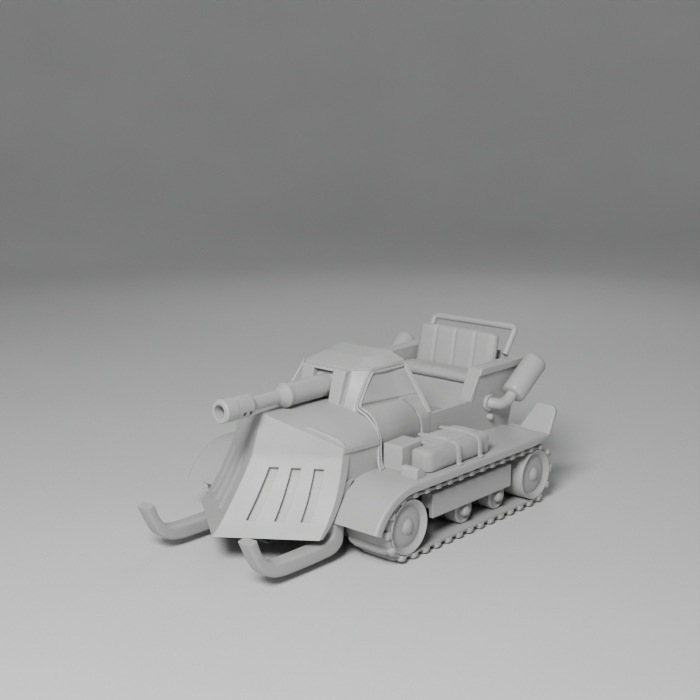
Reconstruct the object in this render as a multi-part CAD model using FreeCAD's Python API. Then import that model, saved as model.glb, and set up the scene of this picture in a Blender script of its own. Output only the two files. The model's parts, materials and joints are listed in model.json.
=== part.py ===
"""Radio-controlled snow tank, about 1:18, as separate pieces.

Millimetres. +Z is up, the nose faces -Y and the vehicle's left side is +X.
The origin is on the ground, under the middle of the outer box.
Each piece is written to parts/NAME.step.
"""
import FreeCAD, Part
import math
import os

V = FreeCAD.Vector

# ---- driving dimensions ----
WHEEL_Z = 26.6            # height of the wheel axles
FRONT_WHEEL_Y = -44.8     # idler axle
REAR_WHEEL_Y = 119.8      # drive axle
TRACK_IN = 56.0           # inner edge of the rubber track
TRACK_OUT = 96.4          # outer edge of the rubber track
WHEEL_FACE = 98.0         # outer face of the big wheels
WHEEL_R = 20.5
BELT_IN_R = 20.9
BELT_OUT_R = 23.1
LUG_TIP_R = 26.6
LUG_COUNT = 34
LUG_LENGTH = 5.0
LUG_PITCH_R = 22.0        # radius at which the lugs are spaced
ROLLER_R = 10.6
ROLLER_Z = 16.6
ROLLER_YS = (33.8, 78.2)

DECK_Z = 59.2             # top of the fenders
FENDER_IN = 56.3
FENDER_OUT = 100.0
LIP_Z = 52.6              # lower edge of the fender's outer lip
BODY_X = 55.0             # half width of the body at the deck
SILL_Z = 89.0             # top of the side wall beside the passenger bay
RAIL_Z = 113.2            # top of the arm rests
BAY_X = 43.5              # half width of the passenger bay between its linings
EAVE_Z = 128.6            # edge of the cab roof

GUN_Y = -16.0             # gun pivot
GUN_Z = 114.2
SLEEVE_R = 8.8
BARREL_R = 5.4
MUZZLE_Y = -138.2

KING_PIN_X = 51.4
KING_PIN_Y = -79.0
SKI_X0 = 47.4
SKI_X1 = 60.2
ARM_DX = -11.4            # steering pin from its king pin
ARM_DY = 10.0
RACK_Y = KING_PIN_Y + ARM_DY
HORN_Y = RACK_Y - 12.0    # steering servo's output shaft
ARM_Z = 31.0              # underside of the steering arms
RACK_Z = 35.0             # underside of the rack
BRACKET_Z = 38.9          # underside of the king-pin brackets

TUB_X = 53.0
TUB_WALL = 2.2
TUB_FLOOR_Z = 12.0
TUB_TOP_Z = 57.0
TUB_FRONT_Y = -62.0
TUB_REAR_Y = 138.0

GEAR_MODULE = 0.8
DRIVE_TEETH = 26
PINION_TEETH = 10
GEAR_X0 = 38.0
GEAR_X1 = 42.0
PINION_Y = REAR_WHEEL_Y - GEAR_MODULE * (DRIVE_TEETH + PINION_TEETH) / 2 - 0.1

SIDES = (("left", 1), ("right", -1))
SCREW_POINTS = [(x, y) for x in (-44.0, 44.0) for y in (-52.0, 90.0)]


# ---- helpers ----
def box(x0, x1, y0, y1, z0, z1):
    return Part.makeBox(x1 - x0, y1 - y0, z1 - z0, V(x0, y0, z0))


def cylinder_x(y, z, radius, x0, x1):
    return Part.makeCylinder(radius, x1 - x0, V(x0, y, z), V(1, 0, 0))


def cylinder_z(x, y, radius, z0, z1):
    return Part.makeCylinder(radius, z1 - z0, V(x, y, z0))


def rod(start, end, radius):
    along = end - start
    return Part.makeCylinder(radius, along.Length, start, along)


def outline(items, place):
    """Closed wire: 2 values are a straight run, 4 values an arc by way of its middle."""
    edges = []
    here = place(*items[0])
    first = here
    for item in items[1:]:
        there = place(*item[-2:])
        if len(item) == 4:
            edges.append(Part.Arc(here, place(*item[:2]), there).toShape())
        else:
            edges.append(Part.makeLine(here, there))
        here = there
    if (here - first).Length > 1e-6:
        edges.append(Part.makeLine(here, first))
    return Part.Wire(edges)


def prism_x(items, x0, x1):
    """Side outline in (y, z), as thick as x0 to x1."""
    wire = outline(items, lambda y, z: V(x0, y, z))
    return Part.Face(wire).extrude(V(x1 - x0, 0, 0))


def prism_y(items, y0, y1):
    wire = outline(items, lambda x, z: V(x, y0, z))
    return Part.Face(wire).extrude(V(0, y1 - y0, 0))


def prism_z(items, z0, z1):
    wire = outline(items, lambda x, y: V(x, y, z0))
    return Part.Face(wire).extrude(V(0, 0, z1 - z0))


def turned_x(items, y, z):
    """Solid turned about an axle: the outline is in (x, radius)."""
    wire = outline(items, lambda x, r: V(x, y + r, z))
    return Part.Face(wire).revolve(V(0, y, z), V(1, 0, 0), 360)


def turned_y(items, x, z):
    """Solid turned about an axis along Y: the outline is in (y, radius)."""
    wire = outline(items, lambda y, r: V(x + r, y, z))
    return Part.Face(wire).revolve(V(x, 0, z), V(0, 1, 0), 360)


def ring(points):
    """Closed polygon through (x, y, z) corners."""
    corners = [V(*point) for point in points]
    return Part.makePolygon(corners + corners[:1])


def lofted(*rings):
    return Part.makeLoft([ring(points) for points in rings], True, True)


def fuse(shapes):
    first, rest = shapes[0], list(shapes[1:])
    return first.fuse(rest).removeSplitter() if rest else first


def mirrored(shape):
    return shape.mirror(V(0, 0, 0), V(1, 0, 0))


def sided(shape, side):
    return shape if side > 0 else mirrored(shape)


def rounded(shape, radius, chosen):
    """Fillet the edges that the test picks."""
    return shape.makeFillet(radius, [edge for edge in shape.Edges if chosen(edge)])


def edge_box(edge):
    return edge.BoundBox


def along_x(edge):
    b = edge.BoundBox
    return b.YLength < 0.01 and b.ZLength < 0.01


def along_z(edge):
    b = edge.BoundBox
    return b.XLength < 0.01 and b.YLength < 0.01


def along_y(edge):
    b = edge.BoundBox
    return b.XLength < 0.01 and b.ZLength < 0.01


def save(name, *shapes):
    solids = [solid for shape in shapes for solid in shape.Solids]
    whole = solids[0] if len(solids) == 1 else Part.Compound(solids)
    for solid in solids:
        if not solid.isValid():
            print("NOT VALID", name)
    whole.exportStep("parts/" + name + ".step")
    print(name, len(solids), round(whole.Volume, 1))


# ---- tracks ----
def stadium(radius, x0, x1):
    """Loop round the front and the rear axle."""
    top, bottom = WHEEL_Z + radius, WHEEL_Z - radius
    return prism_x([(FRONT_WHEEL_Y, top),
                    (FRONT_WHEEL_Y - radius, WHEEL_Z, FRONT_WHEEL_Y, bottom),
                    (REAR_WHEEL_Y, bottom),
                    (REAR_WHEEL_Y + radius, WHEEL_Z, REAR_WHEEL_Y, top)], x0, x1)


def place_on_loop(shape, distance, radius):
    """Move a shape made on the bottom run, pointing down, along the loop."""
    straight = REAR_WHEEL_Y - FRONT_WHEEL_Y
    half_turn = math.pi * radius
    s = distance % (2 * (straight + half_turn))
    if s < straight:
        y, turn = FRONT_WHEEL_Y + s, 0.0
    elif s < straight + half_turn:
        y, turn = REAR_WHEEL_Y, (s - straight) / radius
    elif s < 2 * straight + half_turn:
        y, turn = REAR_WHEEL_Y - (s - straight - half_turn), math.pi
    else:
        y, turn = FRONT_WHEEL_Y, math.pi + (s - 2 * straight - half_turn) / radius
    moved = shape.copy()
    moved.rotate(V(0, 0, 0), V(1, 0, 0), math.degrees(turn))
    moved.translate(V(0, y, WHEEL_Z))
    return moved


def track():
    hollow = stadium(BELT_IN_R, TRACK_IN - 1, TRACK_OUT + 1)
    belt = stadium(BELT_OUT_R, TRACK_IN, TRACK_OUT).cut(hollow)
    half = LUG_LENGTH / 2
    root, tip, bevel = 0.5 - BELT_OUT_R, -LUG_TIP_R, 1.1
    lug = prism_x([(-half, root), (-half, tip + bevel), (bevel - half, tip),
                   (half - bevel, tip), (half, tip + bevel), (half, root)], TRACK_IN, TRACK_OUT)
    # the lug's ends slope back from the tip to the belt
    for edge, end in ((TRACK_OUT, TRACK_OUT - 6.0), (TRACK_IN, TRACK_IN + 6.0)):
        wedge = [(end, tip - 0.1), (edge, tip - 0.1), (edge, tip + 2.8)]
        lug = lug.cut(prism_y(wedge, -half - 1, half + 1))
    base, point = -BELT_IN_R - 0.5, -BELT_IN_R + 2.8
    guide = prism_x([(-2.4, base), (-1.0, point), (1.0, point), (2.4, base)], 72.2, 75.8)
    total = 2 * (REAR_WHEEL_Y - FRONT_WHEEL_Y + math.pi * LUG_PITCH_R)
    pieces = [belt]
    for i in range(LUG_COUNT):
        distance = (i + 0.5) * total / LUG_COUNT
        pieces.append(place_on_loop(lug, distance, LUG_PITCH_R))
        pieces.append(place_on_loop(guide, distance, LUG_PITCH_R))
    return fuse(pieces)


# ---- wheels ----
def dished_wheel(y, bore):
    """Wide drum with a groove for the track's guide teeth and a deep dished face."""
    face = WHEEL_FACE
    return turned_x([
        (face - 6.0, 0), (face + 0.6, 0),
        (face + 0.1, 3.0, face - 1.6, 5.6), (face - 2.1, 6.4),
        (face - 2.3, 11.0, face - 3.6, 15.4), (face - 3.7, 15.9),
        (face - 0.2, 19.6), (face, 19.9), (face - 0.3, WHEEL_R),
        (77.2, WHEEL_R), (77.2, 16.8), (70.8, 16.8), (70.8, WHEEL_R), (57.0, WHEEL_R),
        (57.0, 18.0), (68.8, 18.0), (68.8, 14.4), (79.2, 14.4), (79.2, 18.0), (87.0, 18.0),
        (87.0, 5.4), (57.0, 5.4), (57.0, bore), (face - 6.0, bore)], y, WHEEL_Z)


def road_wheel(y):
    return turned_x([
        (57.4, 2.05), (57.4, 4.0), (60.0, 4.0), (60.0, ROLLER_R - 0.8), (60.8, ROLLER_R),
        (70.8, ROLLER_R), (70.8, 6.8), (77.2, 6.8), (77.2, ROLLER_R), (87.6, ROLLER_R),
        (88.4, ROLLER_R - 0.8), (88.4, 9.0), (86.8, 7.8), (86.8, 5.0), (88.6, 4.6),
        (90.4, 4.2), (92.0, 2.9), (92.4, 0), (88.0, 0), (88.0, 2.05)], y, ROLLER_Z)


def tooth_ring(y, z, teeth, x0, x1, turn):
    """Spur gear with plain tapered teeth, thin enough to run freely."""
    pitch_r = GEAR_MODULE * teeth / 2
    root_r = pitch_r - 1.15 * GEAR_MODULE
    tip_r = pitch_r + 0.8 * GEAR_MODULE
    step = 2 * math.pi / teeth
    corners = []
    for i in range(teeth):
        middle = turn + i * step
        for radius, share in ((root_r, -0.30), (tip_r, -0.12), (tip_r, 0.12), (root_r, 0.30)):
            angle = middle + share * step
            corners.append((y + radius * math.cos(angle), z + radius * math.sin(angle)))
    return prism_x(corners, x0, x1)


# ---- chassis ----
def chassis_tub():
    side = [(TUB_FRONT_Y, TUB_TOP_Z), (TUB_FRONT_Y, TUB_FLOOR_Z), (TUB_REAR_Y, TUB_FLOOR_Z),
            (TUB_REAR_Y, TUB_TOP_Z)]
    outer = prism_x(side, -TUB_X, TUB_X)
    outer = rounded(outer, 3.0, lambda e: along_x(e) and edge_box(e).ZMax < TUB_FLOOR_Z + 1)
    wall = TUB_WALL
    inner = box(-TUB_X + wall, TUB_X - wall, TUB_FRONT_Y + wall, TUB_REAR_Y - wall,
                TUB_FLOOR_Z + wall, TUB_TOP_Z + 1)
    tub = outer.cut(inner)
    # battery bay in the floor, with a ledge for its cover
    tub = tub.cut(box(-21, 21, -2, 72, TUB_FLOOR_Z - 1, TUB_FLOOR_Z + 4))
    tub = tub.cut(box(-24, 24, -5, 75, TUB_FLOOR_Z - 1, TUB_FLOOR_Z + 1.2))
    # nose tray that carries the steering servo, and the two king-pin brackets
    tray = box(-16, 16, -108, TUB_FRONT_Y + 1, 11.0, 13.0)
    ribs = [box(x - 1, x + 1, -84, TUB_FRONT_Y + 1, 12.5, 30) for x in (-14, 14)]
    parts = [tub, tray] + ribs + rack_guides()
    for s in (1, -1):
        bracket = prism_z([(s * 36, TUB_FRONT_Y + 1), (s * 36, -66), (s * 46.5, -84.5),
                           (s * 55.6, -84.5), (s * 55.6, -73.5), (s * 50, TUB_FRONT_Y + 1)],
                          BRACKET_Z, BRACKET_Z + 4.6)
        web_in, web_out = sorted((s * 43, s * 45))
        web = prism_x([(TUB_FRONT_Y + 1, 42), (-76, 42), (-76, 44), (-64.5, 54),
                       (TUB_FRONT_Y + 1, 54)], web_in, web_out)
        parts += [bracket, web]
    # screw columns in the corners
    for x, y in SCREW_POINTS:
        parts.append(cylinder_z(x, y, 4.2, TUB_FLOOR_Z + 1, TUB_TOP_Z))
    tub = fuse(parts)
    for x, y in SCREW_POINTS:
        tub = tub.cut(cylinder_z(x, y, 3.2, TUB_FLOOR_Z - 1, 50.0))
        tub = tub.cut(cylinder_z(x, y, 1.55, 49.0, TUB_TOP_Z + 1))
    for x in (-KING_PIN_X, KING_PIN_X):
        tub = tub.cut(cylinder_z(x, KING_PIN_Y, 2.0, 37, 46))
    # holes for the drive axles, the idler and road-wheel axles, and the power switch
    tub = tub.cut(cylinder_x(REAR_WHEEL_Y, WHEEL_Z, 3.5, -60, 60))
    tub = tub.cut(cylinder_x(FRONT_WHEEL_Y, WHEEL_Z, 2.0, -60, 60))
    for y in ROLLER_YS:
        tub = tub.cut(cylinder_x(y, ROLLER_Z, 2.0, -60, 60))
    tub = tub.cut(box(-9, 9, TUB_REAR_Y - 3, TUB_REAR_Y + 1, 32, 40))
    return tub


def battery_cover():
    plate = box(-23.8, 23.8, -4.8, 74.8, TUB_FLOOR_Z, TUB_FLOOR_Z + 1.1)
    grip = [box(-8, 8, y, y + 1.4, TUB_FLOOR_Z - 0.7, TUB_FLOOR_Z + 0.2) for y in (62, 65, 68)]
    return fuse([plate] + grip)


def axle_pins():
    """Dead stub axles of the idlers and road wheels, each with a head inside the tub."""
    pins = []
    for y, z in [(FRONT_WHEEL_Y, WHEEL_Z)] + [(y, ROLLER_Z) for y in ROLLER_YS]:
        reach = WHEEL_FACE - 7.0 if y < 0 else 87.2
        wall = TUB_X - TUB_WALL
        head_r = 3.4 if y < 0 else 2.3
        shank = cylinder_x(y, z, 2.0, wall - 2.0, reach)
        pin = fuse([shank, cylinder_x(y, z, head_r, wall - 2.4, wall)])
        pins += [pin, mirrored(pin)]
    return pins


def bushings():
    """Flanged bushes where the drive axles leave the tub."""
    rings = []
    for s in (1, -1):
        x = s * (TUB_X - TUB_WALL)
        a, b = sorted((x, s * TUB_X))
        body = cylinder_x(REAR_WHEEL_Y, WHEEL_Z, 3.5, a, b)
        c, d = sorted((s * TUB_X, s * (TUB_X + 1.2)))
        flange = cylinder_x(REAR_WHEEL_Y, WHEEL_Z, 5.0, c, d)
        hole = cylinder_x(REAR_WHEEL_Y, WHEEL_Z, 2.05, min(a, c) - 1, max(b, d) + 1)
        rings.append(fuse([body, flange]).cut(hole))
    return rings


def gearbox_housing():
    y0, y1 = 92.0, 131.0
    plates = [box(s * 34.5 - 1.0, s * 34.5 + 1.0, y0, y1, 14.2, 46) for s in (1, -1)]
    floor = box(-34, 34, y0, y1, 14.2, 15.8)
    post = box(-1.2, 1.2, y0, 124.0, 15, 40)
    bridge = box(-34, 34, 124, y1, 42, 46)
    housing = fuse(plates + [floor, post, bridge])
    housing = housing.cut(cylinder_x(REAR_WHEEL_Y, WHEEL_Z, 2.05, 20, 40))
    housing = housing.cut(cylinder_x(REAR_WHEEL_Y, WHEEL_Z, 2.05, -40, -20))
    for a, b in ((20, 40), (-40, -20)):
        housing = housing.cut(cylinder_x(PINION_Y, WHEEL_Z, 3.1, a, b))
    return housing


def motor():
    can = cylinder_x(PINION_Y, WHEEL_Z, 10.2, 1.6, 31.0)
    can = rounded(can, 1.0, lambda e: True)
    boss = cylinder_x(PINION_Y, WHEEL_Z, 3.0, 30.5, 35.5)
    nose = cylinder_x(PINION_Y, WHEEL_Z, 8.0, 30.5, 33.4)
    return fuse([can, nose, boss]).cut(cylinder_x(PINION_Y, WHEEL_Z, 1.05, 22.0, 36))


def motor_pinion():
    gear = tooth_ring(PINION_Y, WHEEL_Z, PINION_TEETH, GEAR_X0, GEAR_X1, 0.0)
    hub = cylinder_x(PINION_Y, WHEEL_Z, 2.4, 36.4, GEAR_X0 + 0.1)
    shaft = cylinder_x(PINION_Y, WHEEL_Z, 1.0, 22.5, GEAR_X1 + 0.6)
    return fuse([gear, hub, shaft])


def drive_gear():
    half_tooth = math.pi / DRIVE_TEETH
    gear = tooth_ring(REAR_WHEEL_Y, WHEEL_Z, DRIVE_TEETH, GEAR_X0 + 0.3, GEAR_X1 - 0.3,
                      math.pi + half_tooth)
    hub = cylinder_x(REAR_WHEEL_Y, WHEEL_Z, 5.0, 36.2, GEAR_X1 + 1.5)
    return fuse([gear, hub]).cut(cylinder_x(REAR_WHEEL_Y, WHEEL_Z, 2.0, 30, 50))


def drive_axle():
    return cylinder_x(REAR_WHEEL_Y, WHEEL_Z, 2.0, 30.0, WHEEL_FACE - 6.0)


def battery_pack():
    cells = [Part.makeCylinder(9.0, 65, V(s * 9.2, 3, 22.1), V(0, 1, 0)) for s in (1, -1)]
    wrap = box(-9.2, 9.2, 3, 68, 13.3, 30.9)
    return fuse(cells + [wrap])


def control_board():
    board = box(-26, 26, -44, -8, 30.0, 31.6)
    chips = [box(-12, -2, -36, -26, 31.4, 33.4), box(4, 20, -24, -14, 31.4, 34.0),
             box(-22, -15, -20, -11, 31.4, 38.0), box(9, 20, -41, -33, 31.4, 36.0)]
    posts = [cylinder_z(x, y, 2.2, TUB_FLOOR_Z + TUB_WALL, 30.2) for x in (-23, 23) for y in (-41, -11)]
    return fuse([board] + chips + posts)


def power_switch():
    shell = box(-12, 12, TUB_REAR_Y - 10.2, TUB_REAR_Y - 2.3, 31, 41)
    slot = box(-8.6, 8.6, TUB_REAR_Y - 6, TUB_REAR_Y - 1, 33.4, 38.6)
    return shell.cut(slot)


def switch_slider():
    foot = box(-5.5, 0.5, TUB_REAR_Y - 5.6, TUB_REAR_Y - 2.6, 33.6, 38.4)
    knob = box(-4.5, -0.5, TUB_REAR_Y - 3, TUB_REAR_Y + 2.0, 34.0, 38.0)
    return fuse([foot, knob])


# ---- steering ----
def steering_servo():
    case = box(-6, 6, -102, -75, 13.0, 28.0)
    case = rounded(case, 0.8, lambda e: along_z(e))
    ears = box(-6, 6, -106.5, -70.5, 21.0, 23.0)
    neck = cylinder_z(0, HORN_Y, 5.2, 27.5, 30.0)
    spline = cylinder_z(0, HORN_Y, 1.9, 29.5, 33.8)
    return fuse([case, ears, neck, spline])


def servo_horn():
    low, high = ARM_Z - 0.4, ARM_Z + 2.0
    hub = cylinder_z(0, HORN_Y, 3.6, low, ARM_Z + 3.2)
    arm = box(-2.2, 2.2, HORN_Y, RACK_Y, low, high)
    tip = cylinder_z(0, RACK_Y, 2.6, low, high)
    pin = cylinder_z(0, RACK_Y, 1.2, high - 0.5, RACK_Z + 3.8)
    return fuse([hub, arm, tip, pin]).cut(cylinder_z(0, HORN_Y, 1.95, low - 1, ARM_Z + 5))


def steering_rack():
    pin_x = KING_PIN_X + ARM_DX
    slots = ((0, 2.0), (pin_x, 4.3), (-pin_x, 4.3))
    top = RACK_Z + 3.0
    bar = box(-pin_x, pin_x, RACK_Y - 3.2, RACK_Y + 3.2, RACK_Z, top)
    for x, reach in slots:
        front, rear = RACK_Y - reach - 1.8, RACK_Y + reach + 1.0
        bar = bar.fuse(box(x - 4.0, x + 4.0, front, rear, RACK_Z, top))
    for x, reach in slots:
        bar = bar.cut(box(x - 1.75, x + 1.75, RACK_Y - reach, RACK_Y + reach, RACK_Z - 1, top + 1))
    return bar.removeSplitter()


def rack_guides():
    """Two blocks on the front of the tub that the rack slides in."""
    blocks = []
    for x in (-24, 24):
        block = box(x - 4, x + 4, RACK_Y - 6, TUB_FRONT_Y + 1, RACK_Z - 2.4, RACK_Z + 5.4)
        slot = box(x - 5, x + 5, RACK_Y - 3.35, RACK_Y + 3.35, RACK_Z - 0.15, RACK_Z + 3.15)
        blocks.append(block.cut(slot))
    return blocks


def ski():
    lower = [V(0, -168.1, 38.2), V(0, -162.2, 26.2), V(0, -155.8, 15.6), V(0, -147.2, 9.4),
             V(0, -137.2, 6.8), V(0, -125.2, 6.2), V(0, -95.2, 6.4), V(0, -82.0, 8.0),
             V(0, -75.0, 13.0), V(0, -73.4, 22.0)]
    upper = [V(0, -84.8, 24.0), V(0, -88.0, 20.2), V(0, -97.2, 17.9), V(0, -125.2, 17.4),
             V(0, -137.2, 18.0), V(0, -143.6, 19.2), V(0, -149.8, 22.4), V(0, -155.6, 29.2),
             V(0, -160.0, 39.6)]
    shift = V(SKI_X0, 0, 0)
    bottom = Part.BSplineCurve()
    bottom.interpolate([p + shift for p in lower])
    top = Part.BSplineCurve()
    top.interpolate([p + shift for p in upper])
    leg_top = ARM_Z - 0.4
    leg_rear = V(SKI_X0, -73.4, leg_top)
    leg_front = V(SKI_X0, -84.8, leg_top)
    wire = Part.Wire([bottom.toShape(),
                      Part.makeLine(lower[-1] + shift, leg_rear),
                      Part.makeLine(leg_rear, leg_front),
                      Part.makeLine(leg_front, upper[0] + shift),
                      top.toShape(),
                      Part.makeLine(upper[-1] + shift, lower[0] + shift)])
    bar = Part.Face(wire).extrude(V(SKI_X1 - SKI_X0, 0, 0))
    pin_x, pin_y = KING_PIN_X + ARM_DX, RACK_Y
    boss = cylinder_z(KING_PIN_X, KING_PIN_Y, 4.0, leg_top - 1.0, BRACKET_Z - 0.3)
    arm = prism_z([(KING_PIN_X - 2, KING_PIN_Y - 3), (pin_x - 2.6, pin_y - 3.0),
                   (pin_x - 2.6, pin_y + 2.6), (pin_x + 2.6, pin_y + 2.6),
                   (KING_PIN_X + 1, KING_PIN_Y + 3.8)], ARM_Z, ARM_Z + 3.2)
    pin = cylinder_z(pin_x, pin_y, 1.4, ARM_Z + 2.5, RACK_Z + 3.3)
    corner = prism_z([(SKI_X1 + 1, -77.4), (SKI_X1 + 1, -72.0), (SKI_X1 - 4.0, -72.0)],
                     0, leg_top + 1)
    whole = fuse([bar.cut(corner), boss, arm, pin])
    return whole.cut(cylinder_z(KING_PIN_X, KING_PIN_Y, 2.05, 16.0, BRACKET_Z + 1))


def king_pins():
    top = BRACKET_Z + 4.6
    return [fuse([cylinder_z(s * KING_PIN_X, KING_PIN_Y, 2.0, 16.6, top + 0.5),
                  cylinder_z(s * KING_PIN_X, KING_PIN_Y, 3.6, top, top + 1.6)]) for s in (1, -1)]


# ---- body ----
HOOD_FRONT_Y = -97.8
HOOD_REAR_Y = -31.0
HOOD_HALF = 56.0
NOSE_SLOPE = 0.489        # the nose is a V in plan


def nose_y(x):
    return HOOD_FRONT_Y + NOSE_SLOPE * abs(x)


def shoulder_z(x):
    """Height of the cowl's rounded shoulder, at the hood's rear edge."""
    t = min(1.0, abs(x) / HOOD_HALF)
    return 81.0 + 23.0 * (1.0 - t ** 3.6) ** 0.62


def hood_z(x, y):
    """Crease line of the nose, blended into the cowl's shoulder."""
    front = 105.4 - 0.40 * abs(x)
    s = (y - nose_y(x)) / (HOOD_REAR_Y - nose_y(x))
    s = max(0.0, min(1.0, s))
    return front + (shoulder_z(x) - front) * s ** 0.5


def hood_section(y, inset, low):
    half = min(HOOD_HALF, max(1.2, (y - HOOD_FRONT_Y) / NOSE_SLOPE)) - inset
    half = max(half, 1.0)
    count = 8
    xs = [-half + 2 * half * i / count for i in range(count + 1)]
    points = [V(x, y, hood_z(x, y) - inset) for x in xs]
    curve = Part.BSplineCurve()
    curve.interpolate(points)
    left, right = V(-half, y, low), V(half, y, low)
    return Part.Wire([curve.toShape(), Part.makeLine(points[-1], right),
                      Part.makeLine(right, left), Part.makeLine(left, points[0])])


def hood_block(inset, low, y_first, y_last):
    stations = [y_first, -88.0, -80.0, -72.0, -60.0, -46.0, y_last]
    return Part.makeLoft([hood_section(y, inset, low) for y in stations], True, False)


def both_sides(right):
    """Ring of (x, y) corners: the right half as given, then its mirror image."""
    return right + [(-x, y) for x, y in reversed(right)]


def cab_block(inset, low):
    """Cab from the cowl to the roof edge, narrowing upwards."""
    def level(z, half, front, corner, corner_y, rear):
        right = [(corner - inset, front + inset), (half - inset, corner_y + inset),
                 (half - inset, rear - inset)]
        return [(x, y, z) for x, y in both_sides(right)]
    return lofted(level(low, 55.0, -31.5, 52.0, -29.5, 33.0),
                  level(86.0, 54.6, -31.5, 50.0, -28.0, 30.8),
                  level(104.0, 44.5, -31.0, 27.0, -27.0, 27.5),
                  level(EAVE_Z, 35.0, -22.6, 24.4, -14.6, 22.8))


def roof_level(z, right):
    return [(x, y, z) for x, y in both_sides(right)]


def roof_block():
    """Crowned roof: a flat middle with sloping front, sides and rear."""
    eave = roof_level(EAVE_Z, [(25.5, -24.6), (36.0, -15.4), (36.4, 24.0)])
    edge = roof_level(130.0, [(25.0, -23.8), (35.2, -14.8), (35.8, 23.4)])
    # the flat middle rises slightly to the rear
    middle = [(x, y, 135.2 + 0.056 * (y + 7.4))
              for x, y in both_sides([(20.0, -7.4), (22.5, -5.0), (26.5, 18.0)])]
    return fuse([lofted(eave, edge), lofted(edge, middle)])


def side_wall_profile():
    """Side outline of the wall behind the cab, up to the arm rests."""
    return [(26.0, 57.2), (28.0, SILL_Z), (83.6, SILL_Z), (96.8, RAIL_Z - 0.4), (156.8, RAIL_Z),
            (156.0, 108.0), (140.0, 61.0), (139.0, 57.2)]


def door_cut(x0, x1):
    """Opening of a door, seen from the side."""
    return prism_x([(-25.0, 60.5), (-26.5, 84.0), (-24.0, 92.0, -18.0, 99.0), (-14.5, 104.0),
                    (-9.0, 121.0), (-6.0, 124.6), (14.0, 124.6), (18.4, 122.0), (19.0, 106.0),
                    (21.0, 92.0, 25.6, 72.0), (25.6, 60.5)], x0, x1)


def cab_walls():
    """Walls of the cab, open at the doors, at the hood and for the gun housing."""
    cab = cab_block(0, DECK_Z - 2.0)
    cab = cab.cut(cab_block(2.6, DECK_Z - 4.0))
    cab = cab.cut(door_cut(30, 60)).cut(door_cut(-60, -30))
    return cab.cut(box(-24.3, 24.3, -40, -20, 57, EAVE_Z + 1))


def body_shell():
    hood = hood_block(0, DECK_Z - 2.0, -95.0, HOOD_REAR_Y + 2.0)
    hood = hood.cut(hood_block(2.4, DECK_Z - 4.0, -90.0, HOOD_REAR_Y + 4.0))
    parts = [hood, cab_walls()]
    for s in (1, -1):
        outer, inner = s * (BODY_X + 1.0), s * (BODY_X - 1.6)
        parts.append(prism_x(side_wall_profile(), *sorted((outer, inner))))
        arm_rest = [(83.6, SILL_Z - 2.4), (85.0, SILL_Z), (96.8, RAIL_Z - 0.4), (156.8, RAIL_Z),
                    (155.4, 108.6), (98.2, 110.6)]
        parts.append(prism_x(arm_rest, *sorted((outer, s * BAY_X))))
        lining = [(85.0, 70.0), (85.0, SILL_Z), (97.0, RAIL_Z - 1), (152.0, RAIL_Z - 1), (139.0, 70.0)]
        parts.append(prism_x(lining, *sorted((s * BAY_X, s * (BAY_X + 1.8)))))
        lining_front = [(83.6, 70.0), (83.6, SILL_Z - 1), (85.4, SILL_Z - 1), (85.4, 70.0)]
        parts.append(prism_x(lining_front, *sorted((s * BAY_X, s * 54.0))))
        rail = [(93.4, 107.4), (96.8, RAIL_Z), (157.6, RAIL_Z + 0.2), (155.8, 107.4)]
        parts.append(prism_x(rail, *sorted((outer - s * 0.5, s * (BODY_X + 2.6)))))
    rear = prism_x([(137.4, 57.2), (140.0, 57.2), (157.0, RAIL_Z), (154.2, RAIL_Z)],
                   -BODY_X + 1.0, BODY_X - 1.0)
    lip_low = RAIL_Z - 0.6
    rear_lip = prism_x([(154.0, lip_low), (156.8, lip_low), (157.9, 116.6), (155.1, 116.6)],
                       -39.0, 39.0)
    floor = box(-54, 54, 28.0, 142.0, 67.6, 70.0)
    seat_front = box(-44.5, 44.5, 107.0, 109.4, 69.5, 94.5)
    seat_top = box(-44.5, 44.5, 107.0, 150.0, 92.2, 94.6)
    firewall = prism_x([(28.0, 57.2), (28.0, 126.0), (25.4, 126.0), (25.4, 57.2)], -34.0, 34.0)
    parts += [rear, rear_lip, floor, seat_front, seat_top, firewall]
    # strips that rest on the tub, with bosses for the screws
    strip_z = TUB_TOP_Z + 0.2
    for s in (1, -1):
        inner, outer = sorted((s * 40.0, s * 55.0))
        parts.append(box(inner, outer, -56, 138, strip_z, DECK_Z))
    parts += [cylinder_z(x, y, 3.6, strip_z, 67.0) for x, y in SCREW_POINTS]
    parts += hood_trim() + seat_brackets()
    shell = fuse(parts)
    # keep the seat deck and the lining inside the leaning rear wall
    shell = shell.cut(prism_x([(139.9, 50.0), (157.9, 115.0), (160.0, 121.0), (175, 121), (175, 50)],
                              -70, 70))
    for x, y in SCREW_POINTS:
        shell = shell.cut(cylinder_z(x, y, 1.45, 56, 64.5))
    # the hood ends against the back of the plough, and clears the fenders and the gun
    shell = shell.cut(plough_blade())
    for s in (1, -1):
        inner, outer = sorted((s * (FENDER_IN - 0.1), s * 80.0))
        shell = shell.cut(box(inner, outer, -100, -20, 50, 100))
    shell = shell.cut(turned_y([(-100, 0), (-100, 9.5), (-30, 9.5), (-30, 0)], 0, GUN_Z))
    # the cut along the plough leaves two thin slivers in front of it, which are dropped
    return max(shell.Solids, key=lambda solid: solid.Volume)


def hood_trim():
    """Raised lip that follows the hood's front edge, each side of the middle."""
    proud = hood_block(-1.1, DECK_Z, -97.0, HOOD_REAR_Y)
    skin = proud.cut(hood_block(0.4, DECK_Z - 1, -96.5, HOOD_REAR_Y + 1))
    xs = (17.0, 36.0, 54.0)
    front = [(x, nose_y(x) + 6.0) for x in xs]
    rear = [(x, nose_y(x) + 8.6) for x in reversed(xs)]
    strip = prism_z(front + rear, 60, 120)
    return [skin.common(strip), skin.common(mirrored(strip))]


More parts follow.
